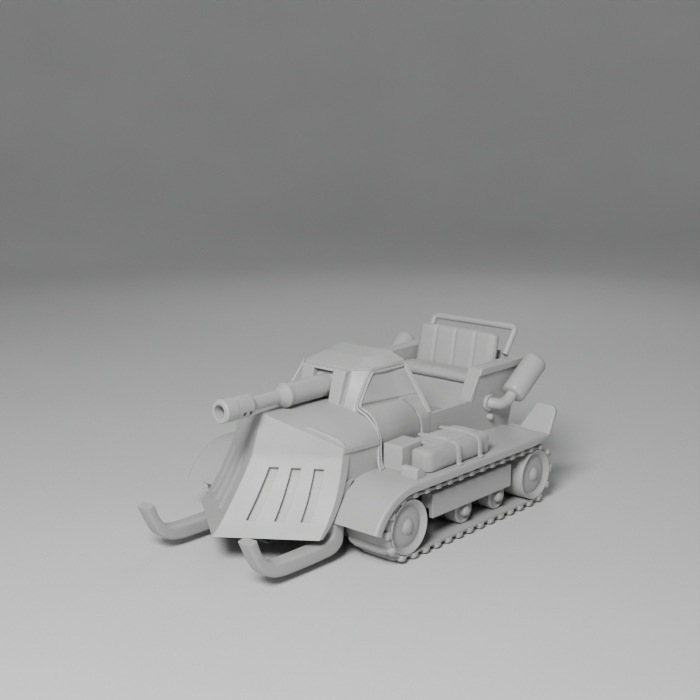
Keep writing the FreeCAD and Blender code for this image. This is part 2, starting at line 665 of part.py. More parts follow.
def cab_roof():
    """Roof shell, open underneath."""
    inside = lofted(roof_level(128.0, [(22.0, -21.5), (33.0, -13.0), (33.0, 21.0)]),
                    roof_level(133.2, [(18.0, -6.5), (20.5, -4.5), (24.0, 16.0)]))
    return roof_block().cut(inside)


def door():
    """Door skin: flat window zone above, swelling panel below."""
    base = cab_block(1.2, DECK_Z + 0.6).cut(cab_block(2.4, DECK_Z - 4.0))
    frame = prism_x([(-24.7, 60.8), (-26.2, 84.0), (-23.7, 92.0, -17.7, 99.0), (-14.2, 104.0),
                     (-8.7, 121.0), (-5.8, 124.3), (13.9, 124.3), (18.1, 121.8), (18.7, 106.0),
                     (20.7, 92.0, 25.3, 72.0), (25.3, 60.8)], 30, 60)

    def level(z, inner, outer, front, rear, taper):
        return [(inner, front, z), (inner, rear, z), (outer, rear - taper, z), (outer, front + taper, z)]
    swell = lofted(level(103.0, 44.0, 46.0, -17.0, 17.0, 0.0),
                   level(92.0, 50.0, 54.4, -21.0, 18.0, 2.0),
                   level(78.0, 52.0, 56.4, -21.0, 21.0, 2.0),
                   level(62.0, 52.0, 55.0, -21.0, 22.0, 1.0))
    swell = swell.cut(cab_block(2.4, DECK_Z - 4.0))
    return fuse([base.common(frame), swell]).cut(cab_walls())


def gun_housing():
    """Raised block in the middle of the windscreen, slotted for the gun."""
    side = [(-36.4, 104.2), (-31.1, 127.9), (-30.2, EAVE_Z), (-22.4, EAVE_Z), (-22.4, 104.2)]
    block = prism_x(side, -24.2, 24.2)
    block = rounded(block, 1.2, lambda e: edge_box(e).XLength < 0.01 and edge_box(e).YMax < -30.5)
    block = block.cut(prism_x([(-33.9, 100), (-33.4, 104.4), (-28.7, 126.6), (-10, 126.6), (-10, 100)],
                              -21.0, 21.0))
    block = block.cut(box(-9.5, 9.5, -40, -20, 104.8, 126.4))
    base = box(-21.5, 21.5, -32.5, -6.0, 98.4, 100.4)
    parts = [block, base]
    for x in (-18.0, 18.0):
        parts.append(box(x - 1.5, x + 1.5, -32.5, -6.0, 104.2, 124.0))
        parts.append(box(x - 1.5, x + 1.5, -26.0, -6.0, 98.4, 105.0))
    housing = fuse(parts)
    return housing.cut(cylinder_x(GUN_Y, GUN_Z, 2.0, -25, 25))


def gun_barrel():
    tube = turned_y([(-22.0, 0), (-22.0, SLEEVE_R), (-71.6, SLEEVE_R), (-72.2, 9.4), (-75.0, 9.4),
                     (-76.4, 8.6), (-82.0, BARREL_R), (-110.0, BARREL_R), (-110.0, 0)], 0, GUN_Z)
    drum = cylinder_x(GUN_Y, GUN_Z, 13.4, -16.2, 16.2)
    whole = fuse([drum, tube])
    return whole.cut(cylinder_x(GUN_Y, GUN_Z, 2.05, -20, 20))


def muzzle_brake():
    body = turned_y([(-107.4, BARREL_R), (-109.8, 7.8), (-112.0, 8.6), (-126.0, 8.6), (-128.0, 8.9),
                     (-136.9, 8.9), (MUZZLE_Y, 7.9), (MUZZLE_Y, 5.2), (-124.0, 5.2), (-124.0, 0),
                     (-110.0, 0), (-110.0, BARREL_R)], 0, GUN_Z)
    for start in (-122.0, -116.0):
        body = body.cut(box(-12, 12, start, start + 3.0, GUN_Z - 5.0, GUN_Z - 2.4))
    return body


def gun_pin():
    return cylinder_x(GUN_Y, GUN_Z, 2.0, -19.5, 19.5)


# ---- plough ----
def plough_half():
    """One wing of the V plough: a hollow-faced lower panel and a plain upper band."""
    def face(offset):
        keel = [V(0, -148.2, 24.0), V(0, -128.6, 45.5), V(0, -107.0, 76.2), V(0, -97.8, 106.8)]
        wing = [V(62.6, -101.4, 24.2), V(60.6, -90.0, 45.0), V(56.2, -71.2, 75.2), V(56.2, -70.3, 83.1)]
        return [[p + V(0, offset[i], 0) for i, p in enumerate(row)] for row in (keel, wing)]
    front = face((0, 0, 0, 0))
    back = face((4.0, 5.0, 7.4, 4.5))
    solids = []
    for i in range(3):
        corners = [front[0][i], front[1][i], front[1][i + 1], front[0][i + 1],
                   back[0][i], back[1][i], back[1][i + 1], back[0][i + 1]]
        solids.append(lofted([corners[j] for j in (0, 1, 5, 4)], [corners[j] for j in (3, 2, 6, 7)]))
    half = fuse(solids)
    # three blind slots, leaning with the panel
    low, high = 35.2, 68.6
    for x_top, x_low in ((16.3, 17.8), (30.0, 34.9), (44.0, 50.2)):
        half = half.cut(lofted(plough_slot(x_low, low), plough_slot(x_top, high)))
    return half


def plough_slot(x, z):
    """Level section of a slot's cutter, 1.1 to 1.2 mm deep in the wing's face."""
    share = (z - 24.0) / 52.2
    y = -148.2 + 41.2 * share + x * (46.8 - 11.0 * share) / 60.0
    return [(x - 3.2, y - 9.0, z), (x + 3.2, y - 4.5, z), (x + 3.2, y + 5.6, z), (x - 3.2, y + 1.1, z)]


def plough_blade():
    half = plough_half()
    return fuse([half, mirrored(half)])


# ---- fenders ----
FENDER_ARC_Y = -41.2
FENDER_ARC_Z = 10.2
FENDER_ARC_R = 49.0


def mudguard_arc(radius, start_z):
    """Lower end and middle, in (y, z), of an arc round the mudguard's centre."""
    reach = math.sqrt(radius ** 2 - (start_z - FENDER_ARC_Z) ** 2)
    offset = radius * math.sqrt(0.5)
    return (FENDER_ARC_Y - reach, start_z), (FENDER_ARC_Y - offset, FENDER_ARC_Z + offset)


def fender():
    thick = 2.6
    start_z, rear, lip_rear = 31.8, 134.0, 125.0
    low = DECK_Z - thick
    outer_start, outer_mid = mudguard_arc(FENDER_ARC_R, start_z)
    inner_start, inner_mid = mudguard_arc(FENDER_ARC_R - thick, start_z)
    lip_start, lip_mid = mudguard_arc(FENDER_ARC_R - 6.6, start_z)
    front = [outer_start, outer_mid + (FENDER_ARC_Y, DECK_Z)]
    skin = prism_x(front + [(rear, DECK_Z), (rear, low), (FENDER_ARC_Y, low), inner_mid + inner_start],
                   FENDER_IN, FENDER_OUT)
    lip = prism_x(front + [(rear, DECK_Z), (rear, low), (lip_rear, LIP_Z), (FENDER_ARC_Y, LIP_Z),
                           lip_mid + lip_start], FENDER_OUT - 1.6, FENDER_OUT)
    shelf = box(FENDER_IN, 79.0, rear - 1.0, 140.0, low, DECK_Z)
    # inner cheek, from the mudguard forward to the back of the plough
    cheek = prism_x([(-96.0, start_z), (-87.2, 45.0), (-77.2, 57.2), (-75.6, DECK_Z),
                     (FENDER_ARC_Y, DECK_Z), outer_mid + outer_start], FENDER_IN, FENDER_IN + 1.3)
    cheek = cheek.cut(plough_blade())
    flap = lofted([(70, 130.6, 57.0), (FENDER_OUT, 130.6, 57.0), (FENDER_OUT, 136.6, 57.0),
                   (70, 136.6, 57.0)],
                  [(78.5, 145.0, 80.4), (FENDER_OUT, 145.0, 80.4), (FENDER_OUT, 148.4, 79.4),
                   (78.5, 148.4, 79.4)])
    corner = Part.makeCylinder(7.0, 60, V(93.0, 120, 73.4), V(0, 1, 0))
    flap = flap.cut(box(93.0, 101, 120, 170, 73.4, 90).cut(corner))
    inner_corner = Part.makeCylinder(4.0, 60, V(81.8, 120, 76.3), V(0, 1, 0))
    flap = flap.cut(box(76, 81.8, 120, 170, 76.3, 90).cut(inner_corner))
    return fuse([skin, lip, shelf, cheek, flap])


def side_beam():
    """Armoured beam over the road wheels, carried on two arms from the tub."""
    beam = prism_y([(82.0, 30.0), (82.0, 41.0), (83.0, 42.0), (92.0, 42.0), (93.0, 41.0), (93.0, 23.6),
                    (92.4, 23.0), (89.0, 23.0), (89.0, 30.0)], -11.6, 90.8)
    arms = [box(TUB_X, 83.0, y - 4, y + 4, 32.0, 39.0) for y in (8.0, 56.0)]
    return fuse([beam] + arms)


# ---- seats and fittings ----
def seat_cushion():
    pad = box(-42.6, 42.6, 106.4, 136.2, 94.8, 103.6)
    return rounded(pad, 3.4, lambda e: True)


def seat_backrest():
    top = 134.8
    pad = prism_x([(136.5, 97.6), (137.8, top), (146.6, top), (145.6, 97.6)], -42.0, 42.0)
    pad = rounded(pad, 4.0, lambda e: edge_box(e).ZMin > top - 0.2 or
                  (edge_box(e).XLength < 0.1 and edge_box(e).ZLength > 20))
    return pad


def seat_brackets():
    """Two upright bars behind the backrest, from the seat deck to the pad."""
    return [box(x - 3.0, x + 3.0, 146.8, 149.0, 94.0, 128.0) for x in (-24.0, 24.0)]


def roll_bar():
    tube_r = 2.7
    foot = V(43.0, 151.0, RAIL_Z + 1.6)
    top = V(43.4, 165.4, 136.2)
    knee = 3.4
    across = V(-1, 0, 0)
    up = (top - foot).normalize()
    start = top - up * knee
    end = top + across * knee
    middle = top + (across - up) * (knee * (1 - math.sqrt(0.5)))
    far = [V(-p.x, p.y, p.z) for p in (end, middle, start, foot)]
    path = Part.Wire([Part.makeLine(foot, start), Part.Arc(start, middle, end).toShape(),
                      Part.makeLine(end, far[0]), Part.Arc(*far[:3]).toShape(),
                      Part.makeLine(far[2], far[3])])
    circle = Part.Wire([Part.makeCircle(tube_r, foot, up)])
    return path.makePipeShell([circle], True, False)


def exhaust_pipe():
    flange = cylinder_x(108.8, 82.8, 6.4, BODY_X + 1.05, BODY_X + 3.4)
    neck = rod(V(BODY_X + 1.5, 108.8, 82.8), V(BODY_X + 6.4, 111.3, 82.8), 4.7)
    neck = neck.cut(box(0, BODY_X + 1.05, 90, 130, 60, 100))
    start, knee, end = V(BODY_X + 5.2, 110.6, 82.8), V(66.4, 117.8, 82.2), V(68.4, 131.4, 93.0)
    bend = 6.5
    back, ahead = (start - knee).normalize(), (end - knee).normalize()
    into = knee + back * bend
    out = knee + ahead * bend
    middle = knee + (back + ahead) * (bend * 0.34)
    path = Part.Wire([Part.makeLine(start, into), Part.Arc(into, middle, out).toShape(),
                      Part.makeLine(out, end)])
    circle = Part.Wire([Part.makeCircle(4.7, start, into - start)])
    pipe = path.makePipeShell([circle], True, False)
    return fuse([flange, neck, pipe])


MUFFLER_LOW = V(67.6, 127.0, 87.7)
MUFFLER_HIGH = V(70.1, 159.0, 113.0)


def muffler():
    along = MUFFLER_HIGH - MUFFLER_LOW
    can = Part.makeCylinder(10.2, along.Length, MUFFLER_LOW, along)
    can = rounded(can, 2.6, lambda e: True)
    return can.cut(exhaust_pipe())


def exhaust_knob():
    return cylinder_x(110.4, 70.6, 2.6, BODY_X + 1.05, BODY_X + 4.4)


BAG_TOP = 76.4
BAG_OUT = 95.0
STRAP_YS = (15.8, 42.8)


def storage_bag():
    wide = box(57.2, BAG_OUT, 1.4, 58.8, DECK_Z + 0.1, BAG_TOP)
    narrow = box(76.0, BAG_OUT, -20.0, 2.4, DECK_Z + 0.1, BAG_TOP)
    narrow = rounded(narrow, 7.0, lambda e: along_z(e) and edge_box(e).XMin > 90 and edge_box(e).YMax < 0)
    bag = fuse([wide, narrow])
    return rounded(bag, 2.2, lambda e: edge_box(e).ZMin > DECK_Z + 0.2 and edge_box(e).XMax > 76)


def bag_strap(y):
    outer = box(57.0, BAG_OUT + 1.5, y - 2.2, y + 2.2, DECK_Z + 0.05, BAG_TOP + 1.4)
    outer = rounded(outer, 3.0, lambda e: along_y(e) and edge_box(e).ZMin > 70 and edge_box(e).XMin > 90)
    inner = box(50.0, BAG_OUT + 0.25, y - 3, y + 3, DECK_Z - 1, BAG_TOP + 0.25)
    strap = outer.cut(inner)
    foot = box(BAG_OUT + 0.25, BAG_OUT + 3.2, y - 2.2, y + 2.2, DECK_Z + 0.05, DECK_Z + 1.0)
    return fuse([strap, foot])


def step_box():
    base = DECK_Z + 0.05
    block = prism_x([(-26.6, base), (-26.0, 78.6), (-3.6, 79.6), (-3.6, base)], 57.8, 75.4)
    return rounded(block, 1.4, lambda e: edge_box(e).ZMin > 61 or
                   (edge_box(e).ZLength > 10 and edge_box(e).XMin > 75))


def fender_block():
    base = DECK_Z + 0.05
    block = prism_x([(-33.6, base), (-33.2, 65.8), (-32.0, 67.0), (-28.0, 67.0), (-23.2, 62.2),
                     (-22.6, base)], 79.6, 94.6)
    return rounded(block, 0.9, lambda e: edge_box(e).ZMin > 61)


def body_screws():
    """Cross-head screws, up through the tub's columns into the body."""
    screws = []
    for x, y in SCREW_POINTS:
        head = cylinder_z(x, y, 2.9, 47.6, 49.95)
        shank = cylinder_z(x, y, 1.45, 49.5, 64.0)
        slot = box(x - 2.0, x + 2.0, y - 0.4, y + 0.4, 47, 48.6)
        cross = box(x - 0.4, x + 0.4, y - 2.0, y + 2.0, 47, 48.6)
        screws.append(fuse([head, shank]).cut(slot).cut(cross))
    return screws


def build():
    os.makedirs("parts", exist_ok=True)
    save("chassis_tub", chassis_tub())
    save("battery_cover", battery_cover())
    save("axle_pins", *axle_pins())
    save("axle_bushings", *bushings())
    save("gearbox_housing", gearbox_housing())
    save("battery_pack", battery_pack())
    save("control_board", control_board())
    save("power_switch", power_switch())
    save("switch_slider", switch_slider())
    save("steering_servo", steering_servo())
    save("servo_horn", servo_horn())
    save("steering_rack", steering_rack())
    save("king_pins", *king_pins())
    save("body_shell", body_shell())
    save("cab_roof", cab_roof())
    save("gun_housing", gun_housing())
    save("gun_pin", gun_pin())
    save("gun_barrel", gun_barrel())
    save("muzzle_brake", muzzle_brake())
    save("plough_blade", plough_blade())
    save("seat_cushion", seat_cushion())
    save("seat_backrest", seat_backrest())
    save("roll_bar", roll_bar())
    save("body_screws", *body_screws())
    for name, side in SIDES:
        save("track_" + name, sided(track(), side))
        save("drive_wheel_" + name, sided(dished_wheel(REAR_WHEEL_Y, 2.0), side))
        save("drive_axle_" + name, sided(drive_axle(), side))
        save("drive_gear_" + name, sided(drive_gear(), side))
        save("motor_" + name, sided(motor(), side))
        save("motor_pinion_" + name, sided(motor_pinion(), side))
        save("idler_wheel_" + name, sided(dished_wheel(FRONT_WHEEL_Y, 2.05), side))
        for place, y in zip(("front", "rear"), ROLLER_YS):
            save("road_wheel_" + place + "_" + name, sided(road_wheel(y), side))
        save("ski_" + name, sided(ski(), side))
        save("door_" + name, sided(door(), side))
        save("fender_" + name, sided(fender(), side))
        save("side_beam_" + name, sided(side_beam(), side))
        save("exhaust_pipe_" + name, sided(exhaust_pipe(), side), sided(exhaust_knob(), side))
        save("muffler_" + name, sided(muffler(), side))
        save("storage_bag_" + name, sided(storage_bag(), side))
        save("step_box_" + name, sided(step_box(), side))
    save("bag_straps", *[sided(bag_strap(y), s) for s in (1, -1) for y in STRAP_YS])
    save("fender_blocks", *[sided(fender_block(), s) for s in (1, -1)])


build()
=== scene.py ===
"""Looks of the radio-controlled snow tank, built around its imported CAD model.

Outlines are written in millimetres and become metres in make(). +Z is up, the nose faces -Y
and the vehicle's left side is +X. Nodes that no piece here replaces are shown as they were packed.
"""
import math

import bpy
import bmesh
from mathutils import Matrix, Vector
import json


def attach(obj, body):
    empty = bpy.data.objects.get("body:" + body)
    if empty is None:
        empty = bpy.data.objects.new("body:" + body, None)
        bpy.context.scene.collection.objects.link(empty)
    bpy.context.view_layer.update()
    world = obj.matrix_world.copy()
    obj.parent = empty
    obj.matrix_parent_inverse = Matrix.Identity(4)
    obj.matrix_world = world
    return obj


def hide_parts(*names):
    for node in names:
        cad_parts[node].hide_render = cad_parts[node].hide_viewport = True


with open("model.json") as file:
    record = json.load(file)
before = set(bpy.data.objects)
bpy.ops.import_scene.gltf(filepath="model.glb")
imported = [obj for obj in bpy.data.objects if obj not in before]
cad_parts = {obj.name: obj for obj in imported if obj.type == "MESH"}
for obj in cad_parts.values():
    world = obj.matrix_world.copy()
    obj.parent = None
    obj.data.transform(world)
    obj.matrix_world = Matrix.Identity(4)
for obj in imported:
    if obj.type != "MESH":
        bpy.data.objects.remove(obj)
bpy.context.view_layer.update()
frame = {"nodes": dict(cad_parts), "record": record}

MM = 0.001

# ---- dimensions shared by several pieces, mm ----
DECK_Z = 59.2
BODY_X = 56.0
SILL_Z = 89.0
RAIL_Z = 113.2
HOOD_FRONT_Y = -97.8
HOOD_REAR_Y = -31.0
NOSE_SLOPE = 0.489
GUN_Y, GUN_Z = -16.0, 114.2
STRAP_Y = (15.8, 42.8)


# ================= materials =================
def noise_node(tree, coordinates, scale, detail):
    node = tree.nodes.new("ShaderNodeTexNoise")
    node.inputs["Scale"].default_value = scale
    node.inputs["Detail"].default_value = detail
    node.inputs["Roughness"].default_value = 0.55
    tree.links.new(coordinates, node.inputs["Vector"])
    return node


def ramp_node(tree, value, stops, into=None):
    node = tree.nodes.new("ShaderNodeValToRGB")
    ramp = node.color_ramp
    while len(ramp.elements) < len(stops):
        ramp.elements.new(0.5)
    for element, (place, colour) in zip(ramp.elements, stops):
        element.position = place
        element.color = (*colour, 1.0)
    tree.links.new(value, node.inputs["Fac"])
    if into is not None:
        tree.links.new(node.outputs["Color"], into)
    return node


def relief(tree, shader, height, strength, distance):
    node = tree.nodes.new("ShaderNodeBump")
    node.inputs["Strength"].default_value = strength
    node.inputs["Distance"].default_value = distance
    tree.links.new(height, node.inputs["Height"])
    tree.links.new(node.outputs["Normal"], shader.inputs["Normal"])


def multiplied(tree, shader, first, second):
    """The product of two colours as the base colour."""
    mix = tree.nodes.new("ShaderNodeMix")
    mix.data_type = "RGBA"
    mix.blend_type = "MULTIPLY"
    mix.inputs["Factor"].default_value = 1.0
    tree.links.new(first.outputs["Color"], mix.inputs["A"])
    tree.links.new(second.outputs["Color"], mix.inputs["B"])
    tree.links.new(mix.outputs["Result"], shader.inputs["Base Color"])


def new_material(name):
    material = bpy.data.materials.new(name)
    material.use_nodes = True
    tree = material.node_tree
    shader = tree.nodes["Principled BSDF"]
    place = tree.nodes.new("ShaderNodeTexCoord")
    return material, tree, shader, place.outputs["Object"]


def shade(colour, factor):
    return tuple(min(1.0, c * factor) for c in colour)


def moulded(name, colour, rough=0.46, grain=0.00012, grain_scale=2600, spread=0.05):
    """Moulded plastic: cloudy colour, rubbed edges lighter, painted shade darkening hollows and creases, and
    a fine grain in gloss and relief.
    """
    material, tree, shader, place = new_material(name)
    clouds = noise_node(tree, place, 38, 4)
    base = ramp_node(tree, clouds.outputs["Fac"],
                     [(0.30, shade(colour, 1 - spread)), (0.72, shade(colour, 1 + spread))])
    # Pointiness ramp: hollows and creases darkened as painted shade, convex edges lightened as rubbed wear.
    geometry = tree.nodes.new("ShaderNodeNewGeometry")
    hollow_shade_and_edge_wear = ramp_node(tree, geometry.outputs["Pointiness"],
                     [(0.42, (0.90, 0.90, 0.90)), (0.50, (1.0, 1.0, 1.0)), (0.60, (1.10, 1.10, 1.10))])
    multiplied(tree, shader, base, hollow_shade_and_edge_wear)
    fine = noise_node(tree, place, grain_scale, 3)
    ramp_node(tree, clouds.outputs["Fac"], [(0.25, (rough - 0.07,) * 3), (0.75, (rough + 0.07,) * 3)],
              shader.inputs["Roughness"])
    relief(tree, shader, fine.outputs["Fac"], 0.35, grain)
    return material


def woven(name, colour, pitch=0.0011, relief_mm=0.16, rough=0.86):
    """Cloth: crossing threads, with slubs and a soft sheen."""
    material, tree, shader, place = new_material(name)
    waves = []
    for axis in ("X", "Y", "Z"):
        wave = tree.nodes.new("ShaderNodeTexWave")
        wave.bands_direction = axis
        wave.inputs["Scale"].default_value = 1 / pitch / 3.2
        wave.inputs["Distortion"].default_value = 0.6
        wave.inputs["Detail"].default_value = 1.0
        tree.links.new(place, wave.inputs["Vector"])
        waves.append(wave.outputs["Fac"])
    first = tree.nodes.new("ShaderNodeMath")
    first.operation = "MAXIMUM"
    tree.links.new(waves[0], first.inputs[0])
    tree.links.new(waves[1], first.inputs[1])
    threads = tree.nodes.new("ShaderNodeMath")
    threads.operation = "MULTIPLY"
    tree.links.new(first.outputs[0], threads.inputs[0])
    tree.links.new(waves[2], threads.inputs[1])
    base = ramp_node(tree, threads.outputs[0], [(0.0, shade(colour, 0.84)), (0.8, shade(colour, 1.06))])
    slubs = noise_node(tree, place, 90, 5)
    tone = ramp_node(tree, slubs.outputs["Fac"], [(0.3, (0.93,) * 3), (0.7, (1.05,) * 3)])
    multiplied(tree, shader, base, tone)
    relief(tree, shader, threads.outputs[0], 0.5, relief_mm * MM)
    shader.inputs["Roughness"].default_value = rough
    shader.inputs["Sheen Weight"].default_value = 0.25
    return material


def vinyl(name, colour):
    """Soft seat skin with a pebbled grain."""
    material, tree, shader, place = new_material(name)
    pebbles = tree.nodes.new("ShaderNodeTexVoronoi")
    pebbles.inputs["Scale"].default_value = 900
    tree.links.new(place, pebbles.inputs["Vector"])
    clouds = noise_node(tree, place, 60, 4)
    ramp_node(tree, clouds.outputs["Fac"], [(0.3, shade(colour, 0.94)), (0.7, shade(colour, 1.05))],
              shader.inputs["Base Color"])
    ramp_node(tree, pebbles.outputs["Distance"], [(0.0, (0.48,) * 3), (0.8, (0.66,) * 3)],
              shader.inputs["Roughness"])
    relief(tree, shader, pebbles.outputs["Distance"], 0.3, 0.00014)
    return material


def metal(name, colour, rough):
    """Turned or plated metal with fine brushing."""
    material, tree, shader, place = new_material(name)
    clouds = noise_node(tree, place, 120, 5)
    ramp_node(tree, clouds.outputs["Fac"], [(0.3, shade(colour, 0.90)), (0.7, shade(colour, 1.05))],
              shader.inputs["Base Color"])
    ramp_node(tree, clouds.outputs["Fac"], [(0.3, (rough - 0.06,) * 3), (0.7, (rough + 0.08,) * 3)],
              shader.inputs["Roughness"])
    lines = noise_node(tree, place, 3000, 2)
    relief(tree, shader, lines.outputs["Fac"], 0.2, 0.00005)
    shader.inputs["Metallic"].default_value = 1.0
    return material


GREY = (0.385, 0.385, 0.38)
MATERIALS = {
    "body_paint": moulded("body_paint", GREY),
    "bar_grey": moulded("bar_grey", shade(GREY, 1.04), rough=0.40),
    "wheel_plastic": moulded("wheel_plastic", shade(GREY, 0.98), rough=0.50),
    "track_rubber": moulded("track_rubber", shade(GREY, 0.90), rough=0.74, grain=0.0003, grain_scale=1500,
                            spread=0.08),
    "seat_vinyl": vinyl("seat_vinyl", shade(GREY, 1.02)),
    "bag_canvas": woven("bag_canvas", shade(GREY, 0.98)),
    "strap_webbing": woven("strap_webbing", shade(GREY, 1.08), pitch=0.0008, relief_mm=0.2),
    "chassis_black": moulded("chassis_black", (0.055, 0.056, 0.06), rough=0.55),
    "housing_plastic": moulded("housing_plastic", (0.03, 0.03, 0.034), rough=0.45),
    "switch_grey": moulded("switch_grey", (0.52, 0.52, 0.50), rough=0.50),
    "steel": metal("steel", (0.60, 0.60, 0.61), 0.30),
    "brass": metal("brass", (0.72, 0.52, 0.24), 0.28),
    "battery_wrap": moulded("battery_wrap", (0.03, 0.09, 0.30), rough=0.28, spread=0.10),
    "board_green": moulded("board_green", (0.02, 0.15, 0.06), rough=0.35, spread=0.12),
}


# ================= mesh helpers =================
def flipped(verts, faces, side):
    """The same mesh on the vehicle's other side."""
    if side > 0:
        return verts, faces
    return [(-x, y, z) for x, y, z in verts], [tuple(reversed(face)) for face in faces]


def face_outward(skin, inside):
    """Turn all faces of a skin away from a point on its inner side."""
    bmesh.ops.recalc_face_normals(skin, faces=skin.faces)
    middle = Vector(inside) * MM
    outward = sum(face.calc_area() * face.normal.dot(face.calc_center_median() - middle)
                  for face in skin.faces)
    if outward < 0:
        bmesh.ops.reverse_faces(skin, faces=skin.faces)


def new_piece(name, verts, faces):
    """An object from millimetre points."""
    mesh = bpy.data.meshes.new(name)
    mesh.from_pydata([Vector(v) * MM for v in verts], [], faces)
    piece = bpy.data.objects.new(name, mesh)
    bpy.context.scene.collection.objects.link(piece)
    return piece


def make(name, verts, faces, body, slot, replaces, side=1, inside=(0.0, 0.0, 60.0), **look):
    """A piece with cleaned faces: shell thickness, rounded edges, material, body."""
    piece = new_piece(name, *flipped(verts, faces, side))
    clean = bmesh.new()
    clean.from_mesh(piece.data)
    bmesh.ops.remove_doubles(clean, verts=clean.verts, dist=0.02 * MM)
    if "solid" in look:
        face_outward(clean, inside)
    else:
        bmesh.ops.recalc_face_normals(clean, faces=clean.faces)
    clean.to_mesh(piece.data)
    clean.free()
    dress(piece, body, slot, replaces, **look)


def panel(name, skin, node="body_shell", **look):
    """A painted piece that is fixed to the hull."""
    make(name, *skin, "hull", "body_paint", [node], **look)


def dress(piece, body, slot, replaces, solid=0.0, bevel=0.0, segments=2, subdivide=0, sharp=38.0):
    if solid:
        thick = piece.modifiers.new("thickness", "SOLIDIFY")
        thick.thickness = solid * MM
        thick.offset = -1.0
        thick.use_even_offset = True
    if bevel:
        soft = piece.modifiers.new("edges", "BEVEL")
        soft.width = bevel * MM
        soft.segments = segments
        soft.limit_method = "ANGLE"
        soft.angle_limit = math.radians(sharp)
        soft.harden_normals = False
        soft.use_clamp_overlap = True
    if subdivide:
        smooth = piece.modifiers.new("smooth", "SUBSURF")
        smooth.levels = subdivide
        smooth.render_levels = subdivide
    for polygon in piece.data.polygons:
        polygon.use_smooth = True
    if not subdivide:
        piece.data.set_sharp_from_angle(angle=math.radians(sharp))
    if bevel and not subdivide:
        even = piece.modifiers.new("normals", "WEIGHTED_NORMAL")
        even.keep_sharp = False
    piece.data.materials.clear()
    piece.data.materials.append(MATERIALS[slot])
    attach(piece, body)
    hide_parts(*replaces)


def grid(rows, close=False):
    """Points and quads of a grid given as rows of points."""
    verts = [point for row in rows for point in row]
    count = len(rows[0])
    faces = []
    spans = count if close else count - 1
    for i in range(len(rows) - 1):
        for j in range(spans):
            k = (j + 1) % count
            faces.append((i * count + j, i * count + k, (i + 1) * count + k, (i + 1) * count + j))
    return verts, faces


def capped(rows):
    """Closed tube of section rings, with both ends closed."""
    verts, faces = grid(rows, close=True)
    count = len(rows[0])
    faces.append(tuple(reversed(range(count))))
    last = (len(rows) - 1) * count
    faces.append(tuple(range(last, last + count)))
    return verts, faces


def prism_x(outline, x0, x1):
    return capped([[(x0, y, z) for y, z in outline], [(x1, y, z) for y, z in outline]])


def prism_y(outline, y0, y1):
    return capped([[(x, y0, z) for x, z in outline], [(x, y1, z) for x, z in outline]])


def prism_z(outline, z0, z1):
    return capped([[(x, y, z0) for x, y in outline], [(x, y, z1) for x, y in outline]])


def block(x0, x1, y0, y1, z0, z1):
    return prism_z([(x0, y0), (x1, y0), (x1, y1), (x0, y1)], z0, z1)


def joined(*parts):
    verts, faces = [], []
    for part_verts, part_faces in parts:
        base = len(verts)
        verts += part_verts
        faces += [tuple(i + base for i in face) for face in part_faces]
    return verts, faces


def lathe(profile, start, end, count=48):
    """Turned shape on the line from start: the profile is (distance along, radius)."""
    start, end = Vector(start), Vector(end)
    along = (end - start).normalized()
    side = along.orthogonal().normalized()
    other = along.cross(side)
    rows = []
    for distance, radius in profile:
        centre = start + along * distance
        ring = []
        for i in range(count):
            angle = 2 * math.pi * i / count
            ring.append(tuple(centre + (side * math.cos(angle) + other * math.sin(angle)) * radius))
        rows.append(ring)
    return capped(rows)


def arc(centre, radius, first, last, count):
    """Points on an arc in two axes, angles in degrees."""
    points = []
    for i in range(count + 1):
        angle = math.radians(first + (last - first) * i / count)
        points.append((centre[0] + radius * math.cos(angle), centre[1] + radius * math.sin(angle)))
    return points


def smooth_path(points, steps=6):
    """Catmull-Rom curve through the points."""
    pts = [Vector(p) for p in points]
    out = []
    for i in range(len(pts) - 1):
        p0 = pts[max(0, i - 1)]
        p1, p2 = pts[i], pts[i + 1]
        p3 = pts[min(len(pts) - 1, i + 2)]
        for k in range(steps):
            t = k / steps
            out.append(0.5 * ((2 * p1) + (p2 - p0) * t + (2 * p0 - 5 * p1 + 4 * p2 - p3) * t ** 2
                              + (3 * p1 - p0 - 3 * p2 + p3) * t ** 3))
    out.append(pts[-1])
    return out


def step(t):
    t = max(0.0, min(1.0, t))
    return t * t * (3 - 2 * t)


def through(pairs, value):
    """Value between the entries of a table of (place, value)."""
    if value <= pairs[0][0]:
        return pairs[0][1]
    for (a, fa), (b, fb) in zip(pairs, pairs[1:]):
        if value <= b:
            return fa + (fb - fa) * (value - a) / (b - a)
    return pairs[-1][1]


def tube(points, radius, count=20):
    """Round tube along a path, closed at its ends."""
    pts = [Vector(p) for p in points]
    rows = []
    side = None
    for i, p in enumerate(pts):
        ahead = pts[min(i + 1, len(pts) - 1)] - pts[max(i - 1, 0)]
        ahead.normalize()
        if side is None:
            side = ahead.orthogonal().normalized()
        side = (side - ahead * side.dot(ahead)).normalized()
        other = ahead.cross(side)
        rows.append([tuple(p + (side * math.cos(a) + other * math.sin(a)) * radius)
                     for a in (2 * math.pi * k / count for k in range(count))])
    return capped(rows)


# ================= hood and plough =================
def nose_y(x, keel_radius=9.0):
    """Top edge of the plough in plan: a V with a rounded keel."""
    reach = abs(x)
    if reach < keel_radius:
        reach = (reach ** 2 / keel_radius + keel_radius) / 2
    return HOOD_FRONT_Y + NOSE_SLOPE * reach


def shoulder_z(x):
    """Rounded shoulder of the cowl, at the hood's rear edge."""
    t = min(1.0, abs(x) / BODY_X)
    return 81.0 + 23.0 * (1.0 - t ** 3.6) ** 0.62


def crease_z(x):
    """Height of the edge between the plough and the hood."""
    return 105.4 - 0.40 * abs(x)


def hood_z(x, y):
    along = (y - nose_y(x)) / (HOOD_REAR_Y - nose_y(x))
    along = max(0.0, min(1.0, along))
    return crease_z(x) + (shoulder_z(x) - crease_z(x)) * along ** 0.8


